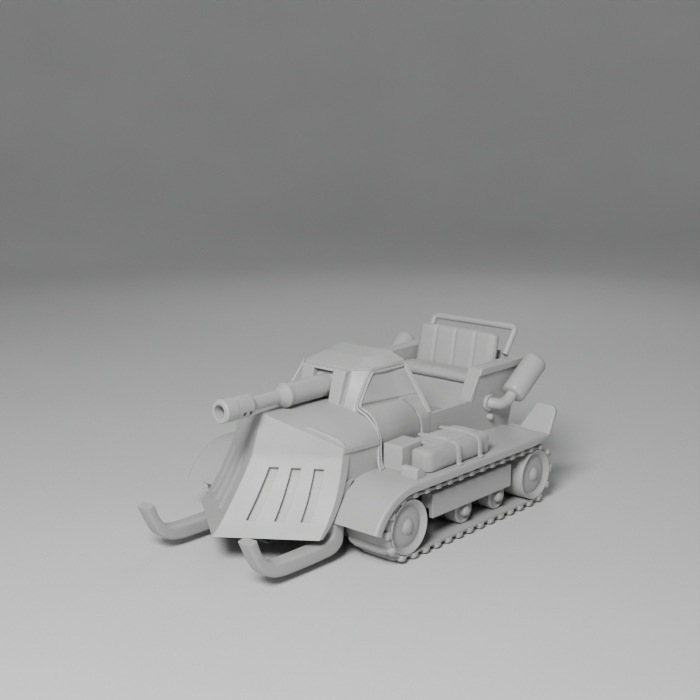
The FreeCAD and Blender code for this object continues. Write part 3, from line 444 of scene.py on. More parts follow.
def hood():
    """Convex skin from the plough to the cowl, with a short skirt down each side."""
    columns, rows = 40, 18
    points = []
    for j in range(rows + 1):
        share = j / rows
        row = []
        for i in range(columns + 1):
            x = (BODY_X + 0.8) * math.sin(math.pi / 2 * (2 * i / columns - 1))
            y = nose_y(x) + (HOOD_REAR_Y - nose_y(x)) * share
            row.append((x, y, hood_z(x, y)))
        left, right = row[0], row[-1]
        row.insert(0, (left[0] - 0.1, left[1], left[2] - 3.2))
        row.append((right[0] + 0.1, right[1], right[2] - 3.2))
        points.append(row)
    panel("hood", grid(points), solid=2.0, bevel=0.35, sharp=32)


def hood_lip(name, side):
    """Raised strip beside the hood's front edge, steep in front and sloping back behind."""
    rows = []
    count = 16
    for k in range(count + 1):
        x = 27.0 + 28.0 * k / count
        height = step(k / 2.0) * step((count - k) / 1.2)
        ring = []
        for across, up in ((3.6, -1.2), (3.8, 1.5 * height), (4.6, 1.9 * height), (5.6, 1.5 * height),
                           (7.4, -1.2)):
            y = nose_y(x) + across
            ring.append((x, y, hood_z(x, y) + up))
        rows.append(ring)
    panel(name, capped(rows), bevel=0.2, side=side)


def cowl_panel(name, side):
    """Upright panel under the hood's side edge, and the cheek from there to the mudguard."""
    upright = prism_x([(-80.5, 56.0), (-68.5, 82.2), (-31.0, 80.6), (-30.0, 56.0)], 53.0, 55.6)
    panel(name, upright, bevel=0.3, side=side)
    cheek = [(-95.4, 32.0), (-87.6, 45.0), (-77.6, 58.0), (-60.0, 58.4), (-75.8, 44.8), (-84.8, 32.0)]
    panel(name + "_cheek", prism_x(cheek, 55.2, 57.6), "fender_" + name.split("_")[-1], bevel=0.3, side=side)


PLOUGH_KEEL = ((-148.2, 24.0), (-139.6, 32.0), (-128.6, 45.5), (-117.0, 61.0), (-107.0, 76.2))
PLOUGH_EDGE = ((62.6, -103.0), (62.2, -95.4), (60.8, -84.8), (58.6, -77.0), (56.2, -71.2))
PLOUGH_HEIGHTS = [z for _, z in PLOUGH_KEEL]
SLOT_TOP_X = (13.3, 19.3, 27.0, 33.0, 41.0, 47.0)
SLOT_LOW_X = (13.8, 19.4, 30.6, 36.4, 46.0, 51.4)
SLOT_LOW_Z, SLOT_TOP_Z = 34.4, 68.4


def plough_point(z, x):
    """Point of the lower panel, which is hollow in height and straight across."""
    keel_y = through([(z0, y) for (y, z0) in PLOUGH_KEEL], z)
    edge_x = through([(z0, e[0]) for z0, e in zip(PLOUGH_HEIGHTS, PLOUGH_EDGE)], z)
    edge_y = through([(z0, e[1]) for z0, e in zip(PLOUGH_HEIGHTS, PLOUGH_EDGE)], z)
    share = x / edge_x
    return (x, keel_y + (edge_y - keel_y) * share, z)


KEEL_COLUMNS = (0.0, 1.5, 3.2, 5.4, 8.4)


def plough_columns(z):
    """Column places at one height: the keel, both edges of each slot, the end."""
    share = (z - SLOT_LOW_Z) / (SLOT_TOP_Z - SLOT_LOW_Z)
    edge_x = through([(z0, e[0]) for z0, e in zip(PLOUGH_HEIGHTS, PLOUGH_EDGE)], z)
    slots = [low + (top - low) * share for low, top in zip(SLOT_LOW_X, SLOT_TOP_X)]
    return list(KEEL_COLUMNS) + slots + [edge_x]


def plough_front():
    """Rows of points over one wing: the hollow lower panel, then the upper band."""
    heights = [24.0, 29.6, SLOT_LOW_Z]
    heights += [SLOT_LOW_Z + (SLOT_TOP_Z - SLOT_LOW_Z) * i / 5 for i in range(1, 6)]
    heights += [72.2, 76.2]
    rows = [[plough_point(z, x) for x in plough_columns(z)] for z in heights]
    edge = rows[-1]
    band_steps = 6
    for k in range(1, band_steps + 1):
        share = k / band_steps
        rows.append([(x, y + (nose_y(x, 9.0 * share + 0.01) - y) * share, z + (crease_z(x) - z) * share)
                     for x, y, z in edge])
    return rows


def plough_depth(z):
    """Thickness from front to back."""
    return through([(24.0, 4.0), (32.0, 6.2), (45.0, 7.0), (76.2, 8.0), (106.0, 4.4)], z)


def plough():
    """V blade with three blind slots in each wing."""
    rows = plough_front()
    count = len(rows[0])
    slot_first = len(KEEL_COLUMNS)
    bm = bmesh.new()

    def wing(sign, back):
        made = []
        for row in rows:
            line = []
            for x, y, z in row:
                shift = plough_depth(z) if back else 0.0
                line.append(bm.verts.new((sign * x * MM, (y + shift) * MM, z * MM)))
            made.append(line)
        return made

    def quad(corners, flip):
        return bm.faces.new(tuple(reversed(corners)) if flip else corners)
    regions = []
    for sign in (1, -1):
        front, back = wing(sign, False), wing(sign, True)
        quads = {}
        for i in range(len(rows) - 1):
            for j in range(count - 1):
                quads[(i, j)] = quad((front[i][j], front[i][j + 1], front[i + 1][j + 1], front[i + 1][j]),
                                     sign < 0)
                quad((back[i][j], back[i][j + 1], back[i + 1][j + 1], back[i + 1][j]), sign > 0)
            quad((front[i][-1], back[i][-1], back[i + 1][-1], front[i + 1][-1]), sign < 0)
        for j in range(count - 1):
            quad((front[0][j], back[0][j], back[0][j + 1], front[0][j + 1]), sign < 0)
            quad((front[-1][j], front[-1][j + 1], back[-1][j + 1], back[-1][j]), sign < 0)
        for column in (slot_first, slot_first + 2, slot_first + 4):
            regions.append([quads[(i, column)] for i in range(2, 7)])
    bm.normal_update()
    for region in regions:
        normal = sum((face.normal for face in region), Vector()).normalized()
        made = bmesh.ops.extrude_face_region(bm, geom=region)
        moved = [v for v in made["geom"] if isinstance(v, bmesh.types.BMVert)]
        bmesh.ops.translate(bm, verts=moved, vec=-normal * 4.0 * MM)
        bmesh.ops.delete(bm, geom=region, context="FACES_ONLY")
    bmesh.ops.remove_doubles(bm, verts=bm.verts, dist=0.01 * MM)
    bmesh.ops.recalc_face_normals(bm, faces=bm.faces)
    piece = new_piece("plough", [], [])
    bm.to_mesh(piece.data)
    bm.free()
    dress(piece, "hull", "body_paint", ["plough_blade"], bevel=0.3, sharp=14)


# ================= cab =================
PILLAR_OUTER = ((61.8, -36.0, 59.4), (57.8, -34.0, 64.0), (55.8, -32.2, 71.0), (55.1, -31.4, 79.0),
                (54.2, -31.2, 86.0), (50.2, -32.0, 92.6), (44.0, -33.6, 98.6), (37.6, -35.6, 102.4),
                (35.6, -33.0, 106.5), (34.4, -26.0, 115.5), (33.0, -17.2, 126.8), (33.6, -12.0, 128.6),
                (34.4, -4.0, 129.2), (35.2, 8.0, 129.4), (35.8, 16.0, 129.6), (36.0, 22.6, 129.8))
PILLAR_INNER = ((60.5, -28.4, 59.4), (57.5, -27.8, 64.0), (56.3, -27.2, 71.0), (55.4, -26.6, 79.0),
                (53.6, -26.2, 85.6), (49.9, -27.0, 92.0), (45.2, -28.5, 97.6), (39.8, -30.6, 103.0),
                (38.2, -27.2, 108.8), (37.0, -20.4, 117.4), (35.9, -13.4, 125.0), (36.6, -8.0, 125.2),
                (37.4, 2.0, 125.3), (37.8, 10.0, 125.4), (38.2, 15.0, 125.5), (38.4, 18.4, 125.6))
RIDGES = ((0.0, -0.5), (0.06, 0.5), (0.16, 1.15), (0.28, 1.2), (0.38, 0.55), (0.46, 0.0), (0.54, 0.05),
          (0.64, 0.75), (0.76, 1.0), (0.88, 0.6), (0.96, -0.3), (1.0, -1.6))


def upper_x(y, z):
    """Cab side above the waist crease."""
    share = max(0.0, min(1.0, (y + 31.6) / 59.4))
    low = 39.4 + 9.8 * share ** 0.85
    high = 35.2 + 0.8 * max(0.0, (y + 14.0) / 36.6)
    return low + (high - low) * (z - 103.0) / 25.6


def quarter_x(y, z):
    """Cab side behind the door, from the roof edge down to the fender."""
    if z >= 104.0:
        return upper_x(y, z)
    return upper_x(y, 104.0) + (56.0 - upper_x(y, 104.0)) * step((104.0 - z) / 17.0) ** 0.9


def door_x(y, z):
    """Door surface: a flat recessed window above the crease, a barrel-shaped panel below."""
    recess = 1.6 * (1.0 - step((y - 4.0) / 17.0))
    if z >= 104.6:
        return upper_x(y, z) - recess
    crease = upper_x(y, 104.6) - recess
    swell = through([(61.0, 0.66), (66.0, 0.80), (72.0, 0.91), (78.0, 0.99), (86.0, 1.0), (92.0, 0.93),
                     (97.0, 0.80), (101.0, 0.60), (103.4, 0.35), (104.6, 0.0)], z)
    full = 55.4 - 1.2 * step((y + 10.0) / 30.0) - 0.7 * step((-14.0 - y) / 12.0)
    return crease + (full - crease) * swell


def door_rear_y(z):
    """Rear edge of the door panel below the crease, seen from the side."""
    return through([(60.0, 22.6), (72.0, 22.4), (80.0, 21.8), (88.0, 19.6), (94.0, 16.4), (99.0, 12.0),
                    (104.6, 6.5)], z)


def cab_rear_y(z):
    """Rear edge of the cab's side."""
    return 31.0 - 8.2 * max(0.0, (z - 89.4) / 40.4)


def pillar_inner_y(z):
    return through([(59.4, -28.4), (71.0, -27.2), (85.6, -26.2), (92.0, -27.0), (97.6, -28.5),
                    (103.0, -30.6), (108.8, -27.2), (117.4, -20.4), (125.0, -13.4), (125.8, -11.0)], z)


def pillar_frame(name, side):
    """Two ribs that run from the fender up the cowl, the windscreen pillar and the roof edge."""
    outer = smooth_path(PILLAR_OUTER, 5)
    inner = smooth_path(PILLAR_INNER, 5)
    rows = []
    for k, (a, b) in enumerate(zip(outer, inner)):
        ahead = (outer[min(k + 1, len(outer) - 1)] - outer[max(k - 1, 0)]).normalized()
        across = (b - a)
        normal = ahead.cross(across).normalized()
        if normal.x < 0:
            normal = -normal
        flat = 0.35 + 0.65 * step(k / 8.0)
        rows.append([tuple(a + across * share + normal * height * flat) for share, height in RIDGES])
    panel(name, grid(rows), solid=2.2, sharp=60, side=side)


def cab_door(name, side):
    """Door with its window zone and swelling panel."""
    rows = []
    heights = [60.6 + (104.6 - 60.6) * i / 26 for i in range(27)]
    for z in heights:
        first, last = pillar_inner_y(z) - 3.4, door_rear_y(z)
        rows.append([(door_x(y, z), y, z) for y in
                     (first + (last - first) * j / 24 for j in range(25))])
    low = grid(rows)
    rows = []
    heights = [104.6 + (125.8 - 104.6) * i / 10 for i in range(11)]
    for z in heights:
        first, last = pillar_inner_y(z) - 0.5, cab_rear_y(z)
        rows.append([(door_x(y, z), y, z) for y in
                     (first + (last - first) * j / 32 for j in range(33))])
    high = grid(rows)
    for tag, part in (("low", low), ("high", high)):
        panel(name + "_" + tag, part, "door_" + name.split("_")[-1], solid=1.6, sharp=50, side=side)


def cab_quarter(name, side):
    """Cab side behind the door's lower panel, its return wall, and the strip under the roof edge."""
    rows = []
    for i in range(25):
        z = 57.4 + (104.9 - 57.4) * i / 24
        first = door_rear_y(z) + 0.1
        last = cab_rear_y(z) + 0.4
        lip_y = first - 0.5
        lip_x = max(quarter_x(first, z), door_x(lip_y, min(z, 104.5)) - 0.8)
        rows.append([(lip_x, lip_y, z)] + [(quarter_x(y, z), y, z) for y in
                                           (first + (last - first) * j / 12 for j in range(13))])
    panel(name, grid(rows), solid=3.2, sharp=50, side=side)
    strip = []
    for i in range(4):
        z = 125.5 + 4.0 * i / 3
        strip.append([(upper_x(y, z), y, z) for y in (15.0 + 8.0 * j / 4 for j in range(5))])
    panel(name + "_top", grid(strip), solid=2.0, sharp=50, side=side)


def cab_rear_rib(name, side):
    """Thin double lip down the cab's rear edge."""
    line = [(36.0, 22.6, 129.8), (41.2, 25.0, 119.4), (48.6, 28.0, 105.0), (55.6, 31.0, 90.0)]
    path = smooth_path(line, 8)
    section = ((-0.6, -2.6), (0.5, -2.3), (0.9, -1.8), (0.4, -1.0), (0.4, -0.6), (1.1, 0.0), (1.0, 0.7),
               (0.2, 1.1), (-2.2, 1.1))
    rows = []
    for p in path:
        rows.append([(p.x + dx, p.y + dy, p.z + dx * 0.4) for dx, dy in section])
    panel(name, capped(rows), sharp=50, side=side)


def cab_back():
    """Rear wall of the cab, from roof edge to roof edge and down into the bay."""
    left = [(36.0, 22.9, 129.0), (41.2, 25.3, 119.0), (48.6, 28.3, 104.8), (54.6, 30.8, 89.8),
            (54.0, 31.0, 66.0)]
    rows = []
    for x, y, z in left:
        rows.append([(x * (2 * i / 12 - 1), y, z) for i in range(13)])
    panel("cab_back", grid(rows), solid=2.0, bevel=0.3)


def screen_corner(name, side):
    """Slanting facet between the gun housing and the windscreen pillar."""
    low = [(19.6, -35.0, 98.5), (26.0, -38.2, 98.5), (34.0, -37.4, 98.5), (38.4, -34.4, 98.5)]
    high = [(19.6, -24.0, 128.4), (24.4, -24.4, 128.4), (33.0, -16.6, 128.2), (34.6, -13.4, 128.0)]
    rows = []
    for k in range(9):
        share = k / 8
        rows.append([tuple(Vector(a).lerp(Vector(b), share)) for a, b in zip(low, high)])
    panel(name, grid(rows), solid=2.0, bevel=0.3, sharp=20, side=side, inside=(0.0, 0.0, 100.0))


def gun_mount():
    """Raised block in the middle of the windscreen, with the slot that the gun works in."""
    slot = 9.9
    for side, tag in ((1, "left"), (-1, "right")):
        rings = []
        for y, z, half in ((-38.4, 99.0, 20.8), (-31.2, 126.8, 22.4), (-30.2, 128.5, 22.4)):
            rings.append([(side * slot, y, z), (side * half, y, z), (side * half, -23.0, z),
                          (side * slot, -23.0, z)])
        panel("gun_mount_" + tag, capped(rings), "gun_housing", bevel=1.1, segments=3)
    lintel = [(-31.25, 126.5), (-30.4, 128.5), (-23.0, 128.5), (-23.0, 126.5)]
    panel("gun_mount_top", prism_x(lintel, -slot - 0.1, slot + 0.1), "gun_housing", bevel=0.4)


def gun():
    """Barrel with its stepped sleeve, and the drum that fills the mount's slot."""
    profile = [(0.0, 8.8), (49.4, 8.8), (49.8, 9.3), (50.4, 9.5), (52.4, 9.5), (53.2, 9.2), (54.2, 8.5),
               (60.0, 5.5), (60.8, 5.4), (88.4, 5.4)]
    make("gun_tube", *lathe(profile, (0.0, -22.0, GUN_Z), (0.0, -120.0, GUN_Z), 56), "gun", "body_paint",
         ["gun_barrel"], sharp=20)
    drum = lathe([(0.0, 13.4), (0.4, 13.8), (18.6, 13.8), (19.0, 13.4)], (-9.5, GUN_Y, GUN_Z),
                 (9.5, GUN_Y, GUN_Z), 56)
    make("gun_drum", *drum, "gun", "body_paint", ["gun_barrel"], sharp=40)


def roof():
    """Crowned roof shell: eave, a narrow edge band, sloping sides and a flat middle."""
    def ring(half_front, front, half_mid, mid_y, half_rear, rear, z, lift):
        nick = 0.30
        wider, deeper = half_mid - half_front, mid_y - front
        corner = [(0.0, front, z), (half_front - 2.0, front, z),
                  (half_front + wider * nick * 0.4, front + deeper * nick * 0.3, z),
                  (half_front + wider * nick, front + deeper * nick, z),
                  (half_mid - 1.4, mid_y - 2.0, z), (half_mid, mid_y + 0.6, z),
                  (half_mid + 0.2, mid_y + 3.4, z),
                  (half_rear, 6.0, z), (half_rear + 0.4, rear, z + lift), (0.0, rear + 0.2, z + lift)]
        mirrored = [(-x, y, h) for x, y, h in reversed(corner[1:-1])]
        return corner + mirrored
    rings = [ring(24.6, -25.0, 34.6, -14.6, 35.4, 23.0, 128.3, 1.3),
             ring(24.8, -24.6, 34.6, -14.0, 35.4, 23.0, 129.6, 1.2),
             ring(19.5, -7.0, 22.0, -3.6, 25.0, 19.0, 135.2, 1.6),
             ring(8.0, -1.0, 10.0, 2.0, 12.0, 12.0, 135.5, 1.3)]
    verts, faces = grid(rings, close=True)
    count = len(rings[0])
    last = (len(rings) - 1) * count
    faces.append(tuple(range(last, last + count)))
    panel("roof", (verts, faces), "cab_roof", solid=1.8, bevel=2.0, segments=5, sharp=12)


# ================= passenger bay =================
def bay_side(name, side):
    """Side wall, arm rest and rail of the open rear bay."""
    wall = [(24.5, 57.5), (24.5, SILL_Z - 2.0), (28.0, SILL_Z), (83.6, SILL_Z), (97.0, RAIL_Z - 0.4),
            (156.8, RAIL_Z), (155.4, 108.6), (140.2, 61.0), (139.4, 57.5)]
    panel(name + "_wall", prism_x(wall, 53.6, 55.96), bevel=0.6, side=side)
    rest = [(84.6, SILL_Z - 2.0), (87.4, SILL_Z + 5.6), (97.2, RAIL_Z), (157.2, RAIL_Z + 0.3), (155.6, 109.2),
            (99.2, 109.6), (86.0, 86.8)]
    panel(name + "_rest", prism_x(rest, 44.0, 56.3), bevel=0.9, segments=3, side=side)
    rail = [(93.6, 107.6), (97.0, RAIL_Z + 0.2), (157.6, RAIL_Z + 0.5), (155.8, 107.6)]
    panel(name + "_rail", prism_x(rail, 55.4, 58.0), bevel=0.7, segments=3, side=side)
    lining = [(84.6, 69.0), (84.6, 87.4), (98.4, 110.2), (154.0, 110.2), (142.6, 69.0)]
    panel(name + "_lining", prism_x(lining, 43.8, 45.4), bevel=0.3, side=side)
    front = block(44.6, 54.4, 83.2, 85.0, 69.0, 88.4)
    panel(name + "_lining_end", front, bevel=0.3, side=side)


def bay_middle():
    rear = [(137.6, 57.5), (140.0, 57.5), (157.0, RAIL_Z), (154.4, RAIL_Z)]
    panel("bay_rear", prism_x(rear, -54.6, 54.6), bevel=0.5)
    lip = [(154.0, 112.0), (156.6, 112.0), (157.8, 116.6), (155.2, 116.6)]
    panel("bay_rear_lip", prism_x(lip, -38.6, 38.6), bevel=0.7, segments=3)
    floor = block(-54.0, 54.0, 30.0, 141.0, 67.8, 70.0)
    panel("bay_floor", floor, bevel=0.3)
    seat_front = [(104.4, 70.0), (106.8, 94.2), (109.0, 94.4), (108.0, 70.0)]
    panel("seat_front", prism_x(seat_front, -44.0, 44.0), bevel=0.5)
    seat_top = [(107.0, 92.4), (107.0, 94.6), (150.2, 94.6), (149.4, 92.4)]
    panel("seat_deck", prism_x(seat_top, -44.0, 44.0), bevel=0.4)
    for x, tag in ((-24.0, "right"), (24.0, "left")):
        make("seat_bracket_" + tag, *block(x - 3.0, x + 3.0, 146.9, 149.2, 94.0, 128.0), "hull",
             "bar_grey", ["body_shell"], bevel=0.6)


# ================= soft seats and bags =================
def soft_solid(name, verts, faces, slot, replaces, side=1, cap=1.6, voxel=1.5, keep_low=None,
               shape=None):
    """Stuffed piece: remeshed, blown up as cloth, its swelling capped, then shaped and smoothed."""
    piece = new_piece(name, *flipped(verts, faces, side))
    fine = piece.modifiers.new("fine", "REMESH")
    fine.mode = "VOXEL"
    fine.voxel_size = voxel * MM
    bake(piece)
    start = [v.co.copy() for v in piece.data.vertices]
    cloth = piece.modifiers.new("cloth", "CLOTH")
    cloth.settings.quality = 5
    cloth.settings.mass = 0.15
    cloth.settings.tension_stiffness = 12
    cloth.settings.compression_stiffness = 8
    cloth.settings.bending_stiffness = 0.4
    cloth.settings.use_pressure = True
    cloth.settings.uniform_pressure_force = 4.0
    cloth.settings.effector_weights.gravity = 0.0
    cloth.point_cache.frame_start = 1
    cloth.point_cache.frame_end = 14
    for number in range(1, 15):
        bpy.context.scene.frame_set(number)
    bake(piece)
    bpy.context.scene.frame_set(1)
    limit = cap * MM
    for vertex, before in zip(piece.data.vertices, start):
        move = vertex.co - before
        if move.length > limit:
            move = move.normalized() * limit
        vertex.co = before + move
        if keep_low is not None and vertex.co.z < keep_low * MM:
            vertex.co.z = keep_low * MM
        if shape is not None:
            vertex.co = Vector(shape(*(vertex.co / MM))) * MM
    smooth_points(piece, 3)
    dress(piece, "hull", slot, replaces, subdivide=1)


def bake(piece):
    """Apply the piece's modifiers to its mesh."""
    graph = bpy.context.evaluated_depsgraph_get()
    graph.update()
    shown = bpy.data.meshes.new_from_object(piece.evaluated_get(graph))
    piece.modifiers.clear()
    old = piece.data
    piece.data = shown
    bpy.data.meshes.remove(old)


def smooth_points(piece, rounds):
    bm = bmesh.new()
    bm.from_mesh(piece.data)
    for _ in range(rounds):
        bmesh.ops.smooth_vert(bm, verts=bm.verts, factor=0.5, use_axis_x=True, use_axis_y=True,
                              use_axis_z=True)
    bm.to_mesh(piece.data)
    bm.free()


def seat_cushion():
    """Long fat seat pad with a rounded front roll."""
    outline = [(107.6, 96.2), (106.6, 99.0), (107.6, 101.8), (110.0, 103.0), (128.8, 103.2), (129.8, 101.6),
               (129.8, 96.4), (128.6, 95.0), (109.2, 95.0)]
    verts, faces = prism_x(outline, -42.2, 42.2)
    soft_solid("seat_cushion_pad", verts, faces, "seat_vinyl", ["seat_cushion"], cap=0.9, keep_low=94.7)


def seat_backrest():
    """Upright pad with three sewn grooves that make four channels."""
    outline = [(131.6, 99.0), (138.4, 133.6), (146.0, 133.8), (140.8, 99.0)]
    verts, faces = prism_x(outline, -40.8, 40.8)

    def channels(x, y, z):
        groove = 0.0
        for place in (-20.8, 0.0, 20.8):
            groove = max(groove, math.exp(-((x - place) / 1.0) ** 2))
        front = step((136.2 + 0.18 * (z - 99.0) - y) / 3.0)
        corner = max(0.0, abs(x) - 34.0) / 7.5
        drop = 2.6 * corner ** 2.4 * step((z - 120.0) / 12.0)
        return x, y + front * (2.0 * groove + 2.6 * corner ** 2), z - drop
    soft_solid("seat_backrest_pad", verts, faces, "seat_vinyl", ["seat_backrest"], cap=0.9, voxel=0.9,
               shape=channels)


def storage_bag(name, side):
    """Long canvas bag strapped to the fender, narrower at its front end."""
    low, top = DECK_Z + 0.3, 75.0
    wide = block(58.2, 94.2, 1.2, 58.0, low, top)
    corner = arc((86.6, -11.6), 7.6, 0, -90, 6)
    narrow = prism_z([(77.2, 4.0), (94.2, 4.0)] + corner + [(77.2, -19.2)], low, top)
    verts, faces = joined(wide, narrow)

    def sag(x, y, z):
        crown = step((z - 70.0) / 5.0)
        across = min(1.0, abs(x - 76.0) / 19.0)
        pull = 0.0
        for place in STRAP_Y:
            pull = max(pull, math.exp(-((y - place) / 3.4) ** 2))
        return x, y, z + crown * (0.9 * (1.0 - across ** 2) - 0.8 * pull)
    soft_solid(name, verts, faces, "bag_canvas", [name.replace("bag", "storage_bag")], side=side,
               cap=1.2, voxel=1.3, keep_low=DECK_Z + 0.1, shape=sag)


def bag_straps(name, side):
    """Webbing straps over the bag and down its outer side, each with a foot on the fender."""
    line = [(58.0, 75.9), (70.0, 76.5), (84.0, 76.4), (91.4, 75.6), (94.4, 74.0), (95.7, 70.6), (95.9, 64.0),
            (96.1, 60.8), (97.0, 59.9), (98.4, 59.7)]
    path = smooth_path([(x, 0.0, z) for x, z in line], 4)
    section = ((-2.4, -0.4), (-2.4, 0.6), (-1.8, 1.1), (0.0, 1.2), (1.8, 1.1), (2.4, 0.6), (2.4, -0.4))
    for number, y in enumerate(STRAP_Y, 1):
        rows = []
        for k, p in enumerate(path):
            ahead = (path[min(k + 1, len(path) - 1)] - path[max(k - 1, 0)]).normalized()
            normal = Vector((-ahead.z, 0.0, ahead.x))
            if normal.z < 0 and normal.x < 0:
                normal = -normal
            ring = [(p + normal * up, across) for across, up in section]
            rows.append([(point.x, y + across, point.z) for point, across in ring])
        make(name.replace("_", "_%d_" % number), *capped(rows), "hull", "strap_webbing", ["bag_straps"],
             bevel=0.15, side=side)


# ================= fenders and what stands on them =================
ARC_Y, ARC_Z, ARC_R = -41.2, 10.2, 49.0


def fender(name, side):
    """Mudguard skin with a rounded edge and a deep outer lip."""
    start = math.degrees(math.acos((31.8 - ARC_Z) / ARC_R))
    stations = []
    for i in range(25):
        angle = math.radians(start * (1 - i / 24))
        stations.append((ARC_Y, ARC_Z, -math.sin(angle), math.cos(angle)))
    for y in (-20.0, 10.0, 40.0, 70.0, 100.0, 116.0, 122.0, 128.0, 133.5):
        stations.append((y, ARC_Z, 0.0, 1.0))
    rows = []
    for y, z, ny, nz in stations:
        deep = 6.6 - 3.6 * step((y - 116.0) / 17.0)
        section = [(54.8, 0.0), (75.0, 0.0), (97.4, 0.0), (98.6, -0.25), (99.5, -0.9), (100.0, -2.0),
                   (100.0, 0.3 - deep), (99.7, -deep), (98.6, -deep), (98.3, 0.4 - deep), (98.2, -2.6),
                   (75.0, -2.6), (54.8, -2.6)]
        rows.append([(x, y + ny * (ARC_R + n), z + nz * (ARC_R + n)) for x, n in section])
    panel(name, capped(rows), "fender_" + name.split("_")[-1], bevel=0.3, sharp=50, side=side)


def mud_flap(name, side):
    """Upswept plate at the fender's rear end, with rounded upper corners."""
    plan = [(69.0, -1.0), (100.0, -1.0), (100.0, 18.0)]
    plan += arc((93.4, 18.4), 6.6, 0, 90, 6)
    plan += arc((82.6, 21.0), 4.0, 90, 160, 4)
    low, top = Vector((0, 133.8, 58.4)), Vector((0, 145.4, 80.6))
    up = (top - low) / 25.0
    back = Vector((0, up.z, -up.y)).normalized() * 4.6
    near = [tuple(Vector((x, 0, 0)) + low + up * v) for x, v in plan]
    far = [tuple(Vector(p) + back) for p in near]
    panel(name, capped([near, far]), "fender_" + name.split("_")[-1], bevel=1.6, segments=4, side=side)
    shelf = block(54.8, 79.0, 132.5, 140.0, DECK_Z - 2.6, DECK_Z)
    panel("shelf_" + name.split("_")[-1], shelf, "fender_" + name.split("_")[-1], bevel=0.3, side=side)


def step_box(name, side):
    outline = [(-27.8, DECK_Z - 0.4), (-27.4, 78.6), (-3.6, 79.6), (-3.2, DECK_Z - 0.4)]
    panel(name, prism_x(outline, 57.4, 75.4), "step_box_" + name.split("_")[-1], bevel=1.3, segments=4,
          side=side)


def wedge_block(name, side):
    outline = [(-33.6, DECK_Z - 0.4), (-33.2, 65.8), (-31.8, 67.0), (-28.8, 67.0), (-27.2, 66.2),
               (-23.4, 62.0), (-22.7, 60.8), (-22.6, DECK_Z - 0.4)]
    panel(name, prism_x(outline, 79.6, 94.6), "fender_blocks", bevel=0.9, segments=3, side=side)


def side_beam(name, side):
    section = [(82.0, 30.0), (82.0, 41.2), (82.6, 42.0), (92.2, 42.0), (93.0, 41.2), (93.0, 23.4),
               (92.4, 23.0), (89.2, 23.0), (89.0, 30.0)]
    parts = [prism_y(section, -11.6, 90.8)]
    parts += [block(53.0, 82.6, y - 4.0, y + 4.0, 32.0, 39.0) for y in (8.0, 56.0)]
    panel(name, joined(*parts), "side_beam_" + name.split("_")[-1], bevel=0.6, segments=3, side=side)


# ================= skis and tracks =================
KING_PIN_X, KING_PIN_Y, BOSS_TOP_Z = 51.4, -79.0, 38.6
ARM_X, ARM_Y, ARM_Z = 40.0, -69.0, 31.0
SKI_LOWER = ((-168.1, 38.2), (-162.2, 26.2), (-155.8, 15.6), (-147.2, 9.4), (-137.2, 6.8), (-125.2, 6.2),
             (-97.0, 6.4), (-83.0, 7.6), (-75.0, 13.0), (-73.4, 22.0), (-73.4, 30.6))
SKI_UPPER = ((-160.0, 39.6), (-155.6, 29.2), (-149.8, 22.4), (-143.6, 19.2), (-137.2, 18.0), (-125.2, 17.4),
             (-97.2, 17.9), (-89.0, 19.8), (-85.4, 22.6), (-84.8, 25.0), (-84.8, 30.6))


def ski(name, side):
    """Upswept runner of rounded section."""
    lower = smooth_path([(0.0, y, z) for y, z in SKI_LOWER], 4)
    upper = smooth_path([(0.0, y, z) for y, z in SKI_UPPER], 4)
    inner, outer, soft = 47.4, 60.2, 2.3
    rows = []
    for a, b in zip(lower, upper):
        reach = (b - a).length
        across = (b - a).normalized()
        ring = []
        for centre_x, centre_n, first in ((outer - soft, reach - soft, 0), (inner + soft, reach - soft, 90),
                                          (inner + soft, soft, 180), (outer - soft, soft, 270)):
            for x, n in arc((centre_x, centre_n), soft, first, first + 90, 4):
                point = a + across * n
                ring.append((x, point.y, point.z))
        rows.append(ring)
    tag = name.split("_")[-1]
    body, node = "ski_body_" + tag, ["ski_" + tag]
    make(name, *capped(rows), body, "wheel_plastic", node, sharp=60, side=side)
    boss = lathe([(0.0, 4.0), (BOSS_TOP_Z - 29.6, 4.0)], (KING_PIN_X, KING_PIN_Y, 29.6),
                 (KING_PIN_X, KING_PIN_Y, 60.0), 32)
    make("ski_boss_" + tag, *boss, body, "wheel_plastic", node, bevel=0.3, side=side)
    arm = [(KING_PIN_X - 2.0, KING_PIN_Y - 3.0), (ARM_X - 2.6, ARM_Y - 3.0), (ARM_X - 2.6, ARM_Y + 2.6),
           (ARM_X + 2.6, ARM_Y + 2.6), (KING_PIN_X + 1.0, KING_PIN_Y + 3.8)]
    make("ski_arm_" + tag, *prism_z(arm, ARM_Z, ARM_Z + 3.2), body, "wheel_plastic", node, bevel=0.3,
         side=side)


WHEEL_FRONT_Y, WHEEL_REAR_Y, WHEEL_Z = -44.8, 119.8, 26.6
TRACK_X0, TRACK_X1, PITCH_R, LUG_COUNT = 56.0, 96.6, 22.0, 34
LOOP = 2 * (WHEEL_REAR_Y - WHEEL_FRONT_Y + math.pi * PITCH_R)


def on_track(travel, radius):
    """Place on the loop at a radius: along the bottom, round the rear, back on top."""
    straight = WHEEL_REAR_Y - WHEEL_FRONT_Y
    half = LOOP / 2 - straight
    travel = travel % LOOP
    if travel < straight:
        return WHEEL_FRONT_Y + travel, WHEEL_Z - radius
    if travel < straight + half:
        turn = (travel - straight) / PITCH_R
        return WHEEL_REAR_Y + radius * math.sin(turn), WHEEL_Z - radius * math.cos(turn)
    if travel < 2 * straight + half:
        return WHEEL_REAR_Y - (travel - straight - half), WHEEL_Z + radius
    turn = (travel - 2 * straight - half) / PITCH_R
    return WHEEL_FRONT_Y - radius * math.sin(turn), WHEEL_Z + radius * math.cos(turn)


